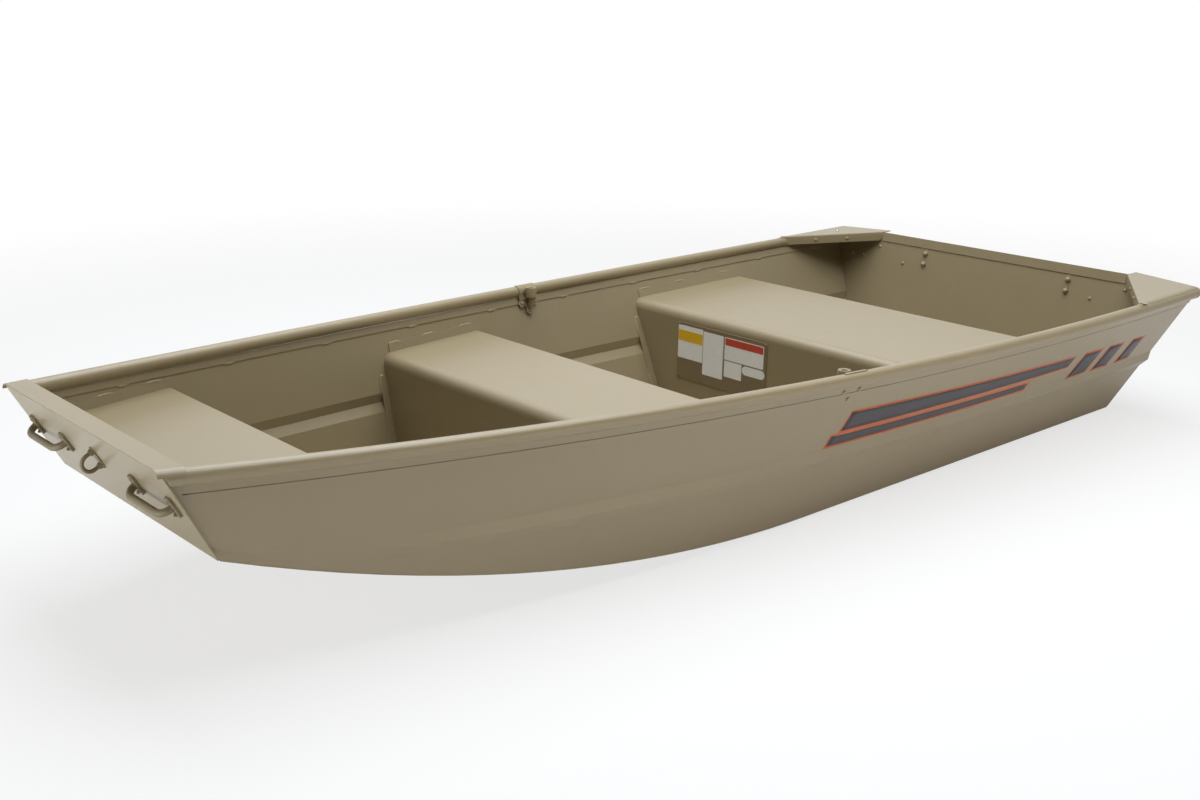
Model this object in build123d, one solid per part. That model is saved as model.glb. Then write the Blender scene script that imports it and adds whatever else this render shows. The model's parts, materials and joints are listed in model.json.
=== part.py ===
from build123d import *
import os
from math import asin, atan2, cos, degrees, radians, sin, sqrt, tan

# Small open aluminium jon boat, bow towards -X, starboard towards +Y, +Z up.
# Lengths are millimetres. Stations are measured aft from the bow tip, and heights
# from the outer face of the flat bottom. The finished pieces are moved together so
# that the origin is halfway along the overall length, at the foot of the keels.

# Hull form
LENGTH = 3020.0
SHEET = 1.6
GAP = 0.3
GUNWALE_HALF_BEAM = 605.0
GUNWALE_HALF_BEAM_AT_BOW = 318.0
GUNWALE_WIDEST_AT = 2600.0
GUNWALE_HEIGHT = 358.0
GUNWALE_HEIGHT_AT_BOW = 428.0
CHINE_HALF_WIDTH = 427.0
CHINE_HALF_WIDTH_AT_BOW = 322.0
ROCKER_STARTS_AT = 1558.0
BOW_FOOT_AT = 109.0
BOW_FOOT_HEIGHT = 254.0
BOW_TOP_AT = 4.0
STERN_OVERHANG = 91.0
TRANSOM_FOOT_AT = LENGTH - STERN_OVERHANG
TRANSOM_RAKE = 12.9

# Long ridge pressed outwards in each side
RIDGE_BELOW_GUNWALE = 179.0
RIDGE_FACE = 24.0
RIDGE_RETURN = 22.0
RIDGE_DEPTH = 10.0
RIDGE_FULL_FROM = 640.0
RIDGE_FADES_AT = 300.0

# Gunwale tube, and the channel under it whose two lips hold the top of the side sheet
BEAD_RADIUS = 15.5
CHANNEL_WEB = 2.0
LIP_DEPTH = 32.0
LIP_THICKNESS = 2.0
LIP_GAP = 0.4

# Benches
BOW_SEAT_REAR = 392.0
BOW_SEAT_DROP = 78.0
BOW_SEAT_HEIGHT = GUNWALE_HEIGHT_AT_BOW - BOW_SEAT_DROP
MID_SEAT_FRONT = 1014.0
MID_SEAT_WIDTH = 339.0
MID_SEAT_REAR = MID_SEAT_FRONT + MID_SEAT_WIDTH
MID_SEAT_DROP = 60.0
MID_SEAT_HEIGHT = GUNWALE_HEIGHT - MID_SEAT_DROP
STERN_BAY = 479.0
REAR_SEAT_WIDTH = 480.0
REAR_SEAT_REAR = TRANSOM_FOOT_AT - STERN_BAY
REAR_SEAT_FRONT = REAR_SEAT_REAR - REAR_SEAT_WIDTH
REAR_SEAT_DROP = 72.0
REAR_SEAT_HEIGHT = GUNWALE_HEIGHT - REAR_SEAT_DROP
SEAT_SHEET = 2.0
SEAT_ROLL = 27.0
SEAT_REAR_BEND = 8.0
SEAT_LIP = 21.0
SEAT_LIP_INSET = 24.0

# Bow
BOW_SHEET = 2.5
BOW_CAP_WIDTH = 50.0
BOW_CAP_SHEET = 2.0
BOW_CAP_TURN = 75.0
HANDLE_ROD = 12.7
HANDLE_SPREAD = 140.0
HANDLE_GRIP = 92.0
HANDLE_REACH = 27.0
HANDLE_OFFSET = 220.0
HANDLE_DOWN = 95.0
PAD_LENGTH = 44.0
PAD_WIDTH = 25.0
PAD_THICKNESS = 4.0

# Mooring eyes
EYE_ROD = 8.0
EYE_SPREAD = 33.0
EYE_REACH = 34.0
EYE_PLATE_LENGTH = 52.0
EYE_PLATE_WIDTH = 20.0
EYE_PLATE_THICKNESS = 3.0
EYE_LEG_INSIDE = 12.0
BOW_EYE_DOWN = 84.0
STERN_EYE_OFFSET = 245.0

# Transom
TRANSOM_THICKNESS = 41.0
TRANSOM_RISE = 16.0
TRANSOM_HEIGHT = GUNWALE_HEIGHT + TRANSOM_RISE
TRANSOM_CAP_SHEET = 2.0
TRANSOM_CAP_DEPTH = 28.0
STERN_EYE_DROP = 58.0
STERN_EYE_HEIGHT = TRANSOM_HEIGHT - STERN_EYE_DROP
BRACKET_SHEET = 2.5
BRACKET_ALONG_SIDE = 285.0
BRACKET_ALONG_TRANSOM = 178.0
BRACKET_START = 419.0
BRACKET_LIP = 24.0
DRAIN_BORE = 25.4
DRAIN_WALL = 1.5
DRAIN_FLANGE = 20.0
DRAIN_HEIGHT = 32.0

# Oarlock sockets
OARLOCK_BEHIND_MID_SEAT = 195.0
OARLOCK_AT = MID_SEAT_REAR + OARLOCK_BEHIND_MID_SEAT
OARLOCK_RISE = 26.0
OARLOCK_TOP = GUNWALE_HEIGHT + OARLOCK_RISE
OARLOCK_BORE = 13.0
OARLOCK_BOSS = 30.0
OARLOCK_BOSS_HEIGHT = 50.0
OARLOCK_PLATE_THICKNESS = 4.0
OARLOCK_BOLT_SPREAD = 48.0
OARLOCK_LOBE = 13.0
OARLOCK_NECK = 20.0

# Keels under the bottom and ribs on the floor
KEEL_HEIGHT = 8.0
KEEL_WIDTH = 14.0
KEEL_TOP_WIDTH = 22.0
KEEL_FLANGE = 44.0
KEEL_SHEET = 2.0
KEEL_SPACING = 270.0
KEEL_SETBACK = 39.0
KEEL_ENDS_AT = TRANSOM_FOOT_AT - KEEL_SETBACK
KEEL_STARTS_AT = 250.0
RIB_WIDTH = 44.0
RIB_HEIGHT = 16.0
RIB_BASE = 74.0
FORE_RIB_BEHIND_BOW_SEAT = 168.0
FORE_RIB_STEP = 240.0
MIDDLE_RIB_AHEAD_OF_REAR_SEAT = 410.0
MIDDLE_RIB_STEP = 205.0
STERN_RIB_BEHIND_REAR_SEAT = 210.0
RIB_STATIONS = (
    BOW_SEAT_REAR + FORE_RIB_BEHIND_BOW_SEAT,
    BOW_SEAT_REAR + FORE_RIB_BEHIND_BOW_SEAT + FORE_RIB_STEP,
    REAR_SEAT_FRONT - MIDDLE_RIB_AHEAD_OF_REAR_SEAT,
    REAR_SEAT_FRONT - MIDDLE_RIB_AHEAD_OF_REAR_SEAT + MIDDLE_RIB_STEP,
    REAR_SEAT_REAR + STERN_RIB_BEHIND_REAR_SEAT,
)

# Bent rod is this many-sided, and each quarter turn of it is made of this many straight runs
ROD_SIDES = 12
BEND_STEPS = 3

# Lofts run past both ends by OVERRUN and are then cut, with evenly spaced sections
OVERRUN = 40.0
HULL_SPANS = 10


def arc_drop(distance, radius):
    return radius - sqrt(radius ** 2 - distance ** 2)


def radius_for(distance, drop):
    return (distance ** 2 + drop ** 2) / (2 * drop)


# The gunwale is one circular arc in a plane that tilts up towards the bow
NARROWING = GUNWALE_HALF_BEAM - GUNWALE_HALF_BEAM_AT_BOW
SHEER = GUNWALE_HEIGHT_AT_BOW - GUNWALE_HEIGHT
GUNWALE_RADIUS = radius_for(GUNWALE_WIDEST_AT, sqrt(NARROWING ** 2 + SHEER ** 2))
GUNWALE_TILT = atan2(SHEER, NARROWING)
CHINE_RADIUS = radius_for(ROCKER_STARTS_AT - BOW_FOOT_AT, CHINE_HALF_WIDTH - CHINE_HALF_WIDTH_AT_BOW)
ROCKER_RADIUS = radius_for(ROCKER_STARTS_AT - BOW_FOOT_AT, BOW_FOOT_HEIGHT)
RAKE = tan(radians(TRANSOM_RAKE))


def gunwale(station):
    drop = arc_drop(station - GUNWALE_WIDEST_AT, GUNWALE_RADIUS)
    return GUNWALE_HALF_BEAM - drop * cos(GUNWALE_TILT), GUNWALE_HEIGHT + drop * sin(GUNWALE_TILT)


def chine(station):
    forward = max(ROCKER_STARTS_AT - station, 0.0)
    return CHINE_HALF_WIDTH - arc_drop(forward, CHINE_RADIUS), arc_drop(forward, ROCKER_RADIUS)


def panel(station, height):
    # Half-width of the flat side panel's outer face at a height
    low_y, low_z = chine(station)
    top_y, top_z = gunwale(station)
    return low_y + (top_y - low_y) * (height - low_z) / (top_z - low_z)


def mirrored(shape):
    return mirror(shape, about=Plane.XZ)


def section(station, points):
    return Face(Wire.make_polygon([Vector(station, y, z) for y, z in points], close=True))


def loft_sections(faces):
    return Solid.make_loft([face.outer_wire() for face in faces])


HULL_STATIONS = [
    -OVERRUN + span * (LENGTH + 2 * OVERRUN) / HULL_SPANS for span in range(HULL_SPANS + 1)
]


def side_points(station, inset):
    # From below the chine up to the underside of the gunwale tube, ridge included
    low_z = chine(station)[1]
    top_z = gunwale(station)[1]
    end_z = top_z - BEAD_RADIUS - CHANNEL_WEB - GAP
    ridge_z = top_z - RIDGE_BELOW_GUNWALE
    corner_z = ridge_z - RIDGE_FACE
    foot_z = corner_z - RIDGE_RETURN
    share = min(max((station - RIDGE_FADES_AT) / (RIDGE_FULL_FROM - RIDGE_FADES_AT), 0.0), 1.0)
    span = top_z - low_z
    foot_z = max(foot_z, low_z + 0.07 * span)
    corner_z = max(corner_z, low_z + 0.15 * span)
    ridge_z = max(ridge_z, low_z + 0.24 * span)
    corner_y = panel(station, corner_z) + RIDGE_DEPTH * share
    return [
        (panel(station, low_z - OVERRUN) - inset, low_z - OVERRUN),
        (panel(station, foot_z) - inset, foot_z),
        (corner_y - inset, corner_z),
        (panel(station, ridge_z) - inset, ridge_z),
        (panel(station, end_z) - inset, end_z),
    ]


def bow_cutter(offset):
    # Everything ahead of the bow plate's outer face, moved aft by offset
    big = 2000.0
    run = BOW_FOOT_AT - BOW_TOP_AT
    rise = GUNWALE_HEIGHT_AT_BOW + BEAD_RADIUS - BOW_FOOT_HEIGHT
    slope = run / rise
    shift = offset * sqrt(1 + slope ** 2)
    low = BOW_FOOT_AT + slope * (BOW_FOOT_HEIGHT + big) + shift
    high = BOW_FOOT_AT - slope * (big - BOW_FOOT_HEIGHT) + shift
    outline = Polyline((low, -big), (high, big), (-3 * big, big), (-3 * big, -big), close=True)
    return extrude(Plane.XZ * make_face(outline), amount=big, both=True)


def transom_x(height):
    return TRANSOM_FOOT_AT + RAKE * height


def stern_cutter(offset):
    # Everything behind the transom's outer face, moved forward by offset
    big = 2000.0
    shift = offset / cos(radians(TRANSOM_RAKE))
    outline = Polyline(
        (transom_x(-big) - shift, -big),
        (transom_x(big) - shift, big),
        (4 * big, big),
        (4 * big, -big),
        close=True,
    )
    return extrude(Plane.XZ * make_face(outline), amount=big, both=True)


def side():
    faces = []
    for station in HULL_STATIONS:
        outer = side_points(station, 0.0)
        inner = side_points(station, SHEET)
        faces.append(section(station, outer + inner[::-1]))
    sheet = loft_sections(faces) - below(SHEET + GAP)
    return sheet - bow_cutter(BOW_SHEET + GAP) - stern_cutter(0.0)


def cavity(inset, ridged=False):
    # The room inside the sheets, less inset; plain side panels unless ridged
    faces = []
    for station in HULL_STATIONS:
        edge = side_points(station, SHEET + inset)
        if not ridged:
            edge = [edge[0], edge[-1]]
        faces.append(section(station, edge + [(-y, z) for y, z in edge[::-1]]))
    return loft_sections(faces) - below(SHEET + inset)


def rocker_band(low, high, start, end):
    # Side view of a strip that follows the bottom between two heights above it
    def edge(offset):
        radius = ROCKER_RADIUS - offset
        angle = atan2(ROCKER_STARTS_AT - start, ROCKER_RADIUS)
        tip = (ROCKER_STARTS_AT - radius * sin(angle), ROCKER_RADIUS - radius * cos(angle))
        half = (ROCKER_STARTS_AT - radius * sin(angle / 2), ROCKER_RADIUS - radius * cos(angle / 2))
        return tip, half, (ROCKER_STARTS_AT, offset)

    low_tip, low_half, low_knee = edge(low)
    high_tip, high_half, high_knee = edge(high)
    outline = (
        ThreePointArc(low_tip, low_half, low_knee)
        + Line(low_knee, (end, low))
        + Line((end, low), (end, high))
        + Line((end, high), high_knee)
        + ThreePointArc(high_knee, high_half, high_tip)
        + Line(high_tip, low_tip)
    )
    return Plane.XZ * make_face(outline)


def below(offset):
    # Everything lower than a surface at offset above the bottom's outer face
    band = rocker_band(-LENGTH / 4, offset, -4 * OVERRUN, LENGTH + 2 * OVERRUN)
    return extrude(band, amount=GUNWALE_HALF_BEAM, both=True)


def bottom():
    band = extrude(rocker_band(0.0, SHEET, -4 * OVERRUN, LENGTH), amount=CHINE_HALF_WIDTH * 2, both=True)
    front_y = chine(-OVERRUN)[0]
    half_y = chine((ROCKER_STARTS_AT - OVERRUN) / 2)[0]
    half_x = (ROCKER_STARTS_AT - OVERRUN) / 2
    knee = (ROCKER_STARTS_AT, CHINE_HALF_WIDTH)
    outline = (
        ThreePointArc((-OVERRUN, front_y), (half_x, half_y), knee)
        + Line(knee, (LENGTH, CHINE_HALF_WIDTH))
        + Line((LENGTH, CHINE_HALF_WIDTH), (LENGTH, -CHINE_HALF_WIDTH))
        + Line((LENGTH, -CHINE_HALF_WIDTH), (ROCKER_STARTS_AT, -CHINE_HALF_WIDTH))
        + ThreePointArc((ROCKER_STARTS_AT, -CHINE_HALF_WIDTH), (half_x, -half_y), (-OVERRUN, -front_y))
        + Line((-OVERRUN, -front_y), (-OVERRUN, front_y))
    )
    plan = extrude(make_face(outline), amount=LENGTH, both=True)
    return (band & plan) - bow_cutter(BOW_SHEET + GAP) - stern_cutter(0.0)


def keel(offset):
    # Runner with a flange against the bottom and sides that narrow downwards
    top = ROCKER_RADIUS + GAP / 2
    angle = asin((ROCKER_STARTS_AT - KEEL_STARTS_AT) / top)

    def on_arc(turn):
        return ROCKER_STARTS_AT - top * sin(turn), 0, ROCKER_RADIUS - top * cos(turn)

    knee = (ROCKER_STARTS_AT, 0, -GAP / 2)
    path = ThreePointArc(on_arc(angle), on_arc(angle / 2), knee) + Line(knee, (KEEL_ENDS_AT, 0, -GAP / 2))
    half = [
        (KEEL_FLANGE / 2, 0),
        (KEEL_FLANGE / 2, -KEEL_SHEET),
        (KEEL_TOP_WIDTH / 2, -KEEL_SHEET),
        (KEEL_WIDTH / 2, GAP / 2 - KEEL_HEIGHT),
    ]
    outline = Polyline(*(half + [(-y, z) for y, z in half[::-1]]), close=True)
    start = Plane(origin=on_arc(angle), x_dir=(0, 1, 0), z_dir=path % 0)
    if start.y_dir.Z < 0:
        start = Plane(origin=start.origin, x_dir=(0, -1, 0), z_dir=start.z_dir)
    return sweep(start * make_face(outline), path=path).translate((0, offset, 0))


def gunwale_heading(station):
    before = gunwale(station - 1)
    after = gunwale(station + 1)
    return Vector(2, after[0] - before[0], after[1] - before[1]).normalized()


def gunwale_arc(start, end):
    # Exact arc of round tube between two stations
    centre = Vector(
        GUNWALE_WIDEST_AT,
        GUNWALE_HALF_BEAM - GUNWALE_RADIUS * cos(GUNWALE_TILT),
        GUNWALE_HEIGHT + GUNWALE_RADIUS * sin(GUNWALE_TILT),
    )
    axis = Axis(centre, (0, sin(GUNWALE_TILT), cos(GUNWALE_TILT)))
    forward = degrees(asin((GUNWALE_WIDEST_AT - start) / GUNWALE_RADIUS))
    aft = degrees(asin((end - GUNWALE_WIDEST_AT) / GUNWALE_RADIUS))
    widest = Plane(origin=(GUNWALE_WIDEST_AT, *gunwale(GUNWALE_WIDEST_AT)), x_dir=(0, 1, 0), z_dir=(1, 0, 0))
    profile = (widest * Circle(BEAD_RADIUS)).rotate(axis, forward)
    return revolve(profile, axis, -forward - aft)


def gunwale_tube():
    # Straight under the bow cap, curved from there aft, and closed by a dome in flat steps
    start = BOW_CAP_WIDTH
    end = LENGTH - BEAD_RADIUS
    ahead = Plane(origin=(start, *gunwale(start)), z_dir=gunwale_heading(start) * -1)
    nose = extrude(ahead * Circle(BEAD_RADIUS), amount=2 * BOW_CAP_WIDTH) - bow_cutter(BOW_SHEET + GAP)
    aft = gunwale_heading(end)
    centre = (end, *gunwale(end))
    turns = [radians(90 * step / BEND_STEPS) for step in range(BEND_STEPS + 1)]
    steps = [(BEAD_RADIUS * sin(turn), BEAD_RADIUS * cos(turn)) for turn in turns]
    across = Plane(origin=centre, x_dir=aft, z_dir=aft.cross(Vector(0, 0, 1)))
    dome = revolve(across * make_face(Polyline((0, 0), *steps, close=True)), Axis(centre, aft))
    return gunwale_arc(start, end) + nose + dome


def gunwale_channel():
    # Web close under the tube and two lips, with a slot for the side sheet
    outboard = LIP_GAP + LIP_THICKNESS
    inboard = -SHEET - outboard
    middle = (outboard + inboard) / 2
    faces = []
    for station in HULL_STATIONS:
        y, z = gunwale(station)
        low_y, low_z = chine(station)
        flare = (y - low_y) / (z - low_z)

        def under_tube(offset):
            # How far below the tube's centre a leaning face comes out of it, with clearance
            square = 1 + flare ** 2
            lean = flare * offset
            return (lean + sqrt(lean ** 2 + square * (BEAD_RADIUS ** 2 - offset ** 2))) / square + 2 * GAP

        corners = [
            (outboard, LIP_DEPTH),
            (outboard, under_tube(outboard)),
            (middle, under_tube(middle)),
            (inboard, under_tube(inboard)),
            (inboard, LIP_DEPTH),
            (-SHEET - LIP_GAP, LIP_DEPTH),
            (-SHEET - LIP_GAP, BEAD_RADIUS + CHANNEL_WEB),
            (LIP_GAP, BEAD_RADIUS + CHANNEL_WEB),
            (LIP_GAP, LIP_DEPTH),
        ]
        points = [(panel(station, z - down) + offset, z - down) for offset, down in corners]
        faces.append(section(station, points))
    aft = Pos(3 * LENGTH / 2 - BEAD_RADIUS, 0, 0) * Box(LENGTH, LENGTH, LENGTH)
    return loft_sections(faces) - aft - bow_cutter(BOW_SHEET + GAP)


def bench_profile(front, rear, height, roll):
    # Side view of the folded bench sheet: front face, rolled edge, top and rear face
    foot = -OVERRUN
    outer = FilletPolyline(
        (front, foot), (front, height), (rear, height), (rear, foot), radius=[roll, SEAT_REAR_BEND]
    )
    inner = FilletPolyline(
        (rear - SEAT_SHEET, foot),
        (rear - SEAT_SHEET, height - SEAT_SHEET),
        (front + SEAT_SHEET, height - SEAT_SHEET),
        (front + SEAT_SHEET, foot),
        radius=[SEAT_REAR_BEND - SEAT_SHEET, roll - SEAT_SHEET],
    )
    outline = outer + Line(outer @ 1, inner @ 0) + inner + Line(inner @ 1, outer @ 0)
    return Plane.XZ * make_face(outline)


def bench(front, rear, height, room, skin):
    width = 2 * GUNWALE_HALF_BEAM
    sheet = extrude(bench_profile(front, rear, height, SEAT_ROLL), amount=width / 2, both=True)
    lip_length = rear - front - 2 * SEAT_LIP_INSET
    top_lip = Pos((front + rear) / 2, 0, height + SEAT_LIP / 2 - SEAT_SHEET / 2) * Box(
        lip_length, width, SEAT_LIP + SEAT_SHEET
    )
    face_height = height - SEAT_ROLL - SEAT_LIP_INSET
    face_lip = Pos(front - SEAT_LIP / 2 + SEAT_SHEET / 2, 0, face_height / 2) * Box(
        SEAT_LIP + SEAT_SHEET, width, face_height
    )
    return (sheet & room) + (skin & (top_lip + face_lip))


def bow_bench(room, skin):
    width = 2 * GUNWALE_HALF_BEAM
    rear = BOW_SEAT_REAR
    height = BOW_SEAT_HEIGHT
    outer = FilletPolyline((0, height), (rear, height), (rear, -OVERRUN), radius=SEAT_REAR_BEND)
    inner = FilletPolyline(
        (rear - SEAT_SHEET, -OVERRUN),
        (rear - SEAT_SHEET, height - SEAT_SHEET),
        (0, height - SEAT_SHEET),
        radius=SEAT_REAR_BEND - SEAT_SHEET,
    )
    outline = outer + Line(outer @ 1, inner @ 0) + inner + Line(inner @ 1, outer @ 0)
    sheet = extrude(Plane.XZ * make_face(outline), amount=width / 2, both=True)
    lip_front = BOW_CAP_WIDTH + 3 * SEAT_LIP_INSET
    lip_length = rear - SEAT_LIP_INSET - lip_front
    lip = Pos(lip_front + lip_length / 2, 0, height + SEAT_LIP / 2 - SEAT_SHEET / 2) * Box(
        lip_length, width, SEAT_LIP + SEAT_SHEET
    )
    return (sheet & room) + (skin & lip) - bow_cutter(BOW_SHEET + GAP)


def bow_frame(down):
    # A plane on the bow plate's outer face: its normal points out, its y up the plate
    run = BOW_FOOT_AT - BOW_TOP_AT
    rise = GUNWALE_HEIGHT_AT_BOW + BEAD_RADIUS - BOW_FOOT_HEIGHT
    slant = sqrt(run ** 2 + rise ** 2)
    origin = (
        BOW_TOP_AT + down * run / slant,
        0,
        GUNWALE_HEIGHT_AT_BOW + BEAD_RADIUS - down * rise / slant,
    )
    return Plane(origin=origin, x_dir=(0, -1, 0), z_dir=(-rise, 0, -run))


def under_cap(radius, station):
    # Outline across the bow, flat on top and rounded over both gunwale tubes
    half, centre = gunwale(station)

    def corner(hand, turn):
        angle = radians(turn)
        return station, hand * (half + radius * sin(angle)), centre + radius * cos(angle)

    return corner


def bow_plate():
    run = BOW_FOOT_AT - BOW_TOP_AT
    rise = GUNWALE_HEIGHT_AT_BOW + BEAD_RADIUS - BOW_FOOT_HEIGHT
    slant = sqrt(run ** 2 + rise ** 2)
    top = gunwale(BOW_TOP_AT)[0] + BEAD_RADIUS
    foot = chine(BOW_FOOT_AT)[0]
    outline = Polyline((-foot, -slant), (foot, -slant), (top, 0), (-top, 0), close=True)
    plate = extrude(bow_frame(0) * make_face(outline), amount=-BOW_SHEET)
    corner = under_cap(BEAD_RADIUS, BOW_TOP_AT)
    widest = corner(1, 90)[1]
    floor = BOW_FOOT_HEIGHT - OVERRUN
    low_starboard = (BOW_TOP_AT, widest, floor)
    low_port = (BOW_TOP_AT, -widest, floor)
    rounded = (
        Line(corner(-1, 0), corner(1, 0))
        + ThreePointArc(corner(1, 0), corner(1, 45), corner(1, 90))
        + Line(corner(1, 90), low_starboard)
        + Line(low_starboard, low_port)
        + Line(low_port, corner(-1, 90))
        + ThreePointArc(corner(-1, 90), corner(-1, 45), corner(-1, 0))
    )
    allowed = extrude(make_face(rounded), amount=LENGTH / 4, both=True)
    return plate & allowed


def bow_cap():
    # Flat strip whose ends roll down over the gunwale tubes
    radius = BEAD_RADIUS + 2 * GAP
    outer = radius + BOW_CAP_SHEET
    wires = []
    for station in (BOW_TOP_AT - BOW_SHEET, BOW_TOP_AT - BOW_SHEET + BOW_CAP_WIDTH):
        low = under_cap(radius, station)
        high = under_cap(outer, station)
        turn = BOW_CAP_TURN
        outline = (
            Line(high(-1, 0), high(1, 0))
            + ThreePointArc(high(1, 0), high(1, turn / 2), high(1, turn))
            + Line(high(1, turn), low(1, turn))
            + ThreePointArc(low(1, turn), low(1, turn / 2), low(1, 0))
            + Line(low(1, 0), low(-1, 0))
            + ThreePointArc(low(-1, 0), low(-1, turn / 2), low(-1, turn))
            + Line(low(-1, turn), high(-1, turn))
            + ThreePointArc(high(-1, turn), high(-1, turn / 2), high(-1, 0))
        )
        wires.append(make_face(outline).face().outer_wire())
    return Solid.make_loft(wires, ruled=True)


def bent_rod(points, rod):
    # Many-sided rod in straight runs with mitred corners
    start = Vector(*points[0])
    profile = Plane(origin=start, z_dir=Vector(*points[1]) - start) * RegularPolygon(rod / 2, ROD_SIDES)
    return sweep(profile, path=Polyline(*points), transition=Transition.RIGHT)


def bow_handle():
    # Rod that leaves each pad square to it and turns into the grip along a quarter ellipse
    inset = (HANDLE_SPREAD - HANDLE_GRIP) / 2
    rise = HANDLE_REACH - PAD_THICKNESS
    turns = [radians(90 * step / BEND_STEPS) for step in range(BEND_STEPS + 1)]
    leg = [(-HANDLE_GRIP / 2 - inset * cos(turn), 0, PAD_THICKNESS + rise * sin(turn)) for turn in turns]
    leg = [(-HANDLE_SPREAD / 2, 0, 0)] + leg
    body = bent_rod(leg + [(-x, y, z) for x, y, z in leg[::-1]], HANDLE_ROD)
    pad = extrude(SlotOverall(PAD_LENGTH, PAD_WIDTH, rotation=90), amount=PAD_THICKNESS)
    for x in (-HANDLE_SPREAD / 2, HANDLE_SPREAD / 2):
        body = body + pad.translate((x, 0, 0))
    return body


def eye(through):
    # U-bolt in a vertical plane with its backing plate on the outer face
    radius = EYE_SPREAD / 2
    count = 2 * BEND_STEPS
    turns = [radians(180 * step / count) for step in range(count + 1)]
    crown = [(0, -radius * cos(turn), EYE_REACH - radius + radius * sin(turn)) for turn in turns]
    bolt = bent_rod([(0, -radius, -through)] + crown + [(0, radius, -through)], EYE_ROD)
    outline = SlotOverall(EYE_PLATE_LENGTH, EYE_PLATE_WIDTH, rotation=90)
    return bolt + extrude(outline, amount=EYE_PLATE_THICKNESS)


def transom_frame(height):
    # A plane on the transom's outer face: its normal points aft, its y up the transom
    tilt = radians(TRANSOM_RAKE)
    return Plane(origin=(transom_x(height), 0, height), x_dir=(0, 1, 0), z_dir=(cos(tilt), 0, -sin(tilt)))


def transom_edge(depth):
    # Half outline of a transom sheet, on the frame's y and up, at a depth in from the outer face
    lean = cos(radians(TRANSOM_RAKE))
    rise = depth * sin(radians(TRANSOM_RAKE))

    def half(height, inset):
        return panel(transom_x(height) - depth / lean, height) - inset

    gunwale_y, gunwale_z = gunwale(transom_x(GUNWALE_HEIGHT) - depth / lean)
    snug = SHEET + GAP
    ridge_z = gunwale_z - RIDGE_BELOW_GUNWALE
    lip_z = gunwale_z - LIP_DEPTH - 2 * GAP
    under_z = gunwale_z - BEAD_RADIUS - GAP
    tube_y = gunwale_y - BEAD_RADIUS - LIP_THICKNESS - LIP_GAP
    points = [
        (half(snug, snug), snug),
        (half(ridge_z - RIDGE_FACE - RIDGE_RETURN, snug), ridge_z - RIDGE_FACE - RIDGE_RETURN),
        (half(ridge_z - RIDGE_FACE, snug - RIDGE_DEPTH), ridge_z - RIDGE_FACE),
        (half(ridge_z, snug), ridge_z),
        (half(lip_z, snug), lip_z),
        (half(lip_z, snug + LIP_THICKNESS + LIP_GAP), lip_z),
        (half(under_z, snug + LIP_THICKNESS + LIP_GAP) - BEAD_RADIUS / 2, under_z),
        (tube_y, gunwale_z),
        (tube_y, gunwale_z + BEAD_RADIUS - BRACKET_SHEET),
        (BRACKET_START, TRANSOM_HEIGHT + rise),
    ]
    return [(y, (z - rise) / lean) for y, z in points]


def transom_sheet(near, far):
    edge = transom_edge(near)
    outline = Polyline(*(edge + [(-y, z) for y, z in edge[::-1]]), close=True)
    sheet = extrude(transom_frame(0) * make_face(outline), amount=-(far - near))
    return sheet.translate(transom_frame(0).z_dir * -near)


def transom_holes():
    # Clearance for the drain tube and for both legs of each mooring eye
    drain = Cylinder(DRAIN_BORE / 2 + DRAIN_WALL + GAP, 4 * TRANSOM_THICKNESS)
    holes = transom_frame(DRAIN_HEIGHT) * drain
    for y in (-STERN_EYE_OFFSET, STERN_EYE_OFFSET):
        for up in (-EYE_SPREAD / 2, EYE_SPREAD / 2):
            leg = RegularPolygon(EYE_ROD / 2 + GAP, ROD_SIDES, major_radius=False)
            place = transom_frame(STERN_EYE_HEIGHT) * Pos(y, up, 0)
            holes = holes + extrude(place * leg, amount=2 * TRANSOM_THICKNESS, both=True)
    return holes


def transom_cap():
    # Channel folded over the top edge of both transom sheets
    lean = cos(radians(TRANSOM_RAKE))
    outer = TRANSOM_THICKNESS + 2 * (GAP + TRANSOM_CAP_SHEET)
    inner = TRANSOM_THICKNESS + 2 * GAP
    length = 2 * (BRACKET_START - BRACKET_SHEET - GAP)
    top = TRANSOM_HEIGHT / lean + GAP + TRANSOM_CAP_SHEET
    middle = Pos(0, top - TRANSOM_CAP_DEPTH / 2, -TRANSOM_THICKNESS / 2)
    block = middle * Box(length, TRANSOM_CAP_DEPTH, outer)
    slot = Pos(0, -TRANSOM_CAP_SHEET, 0) * middle * Box(2 * length, TRANSOM_CAP_DEPTH, inner)
    return transom_frame(0) * (block - slot)


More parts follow.
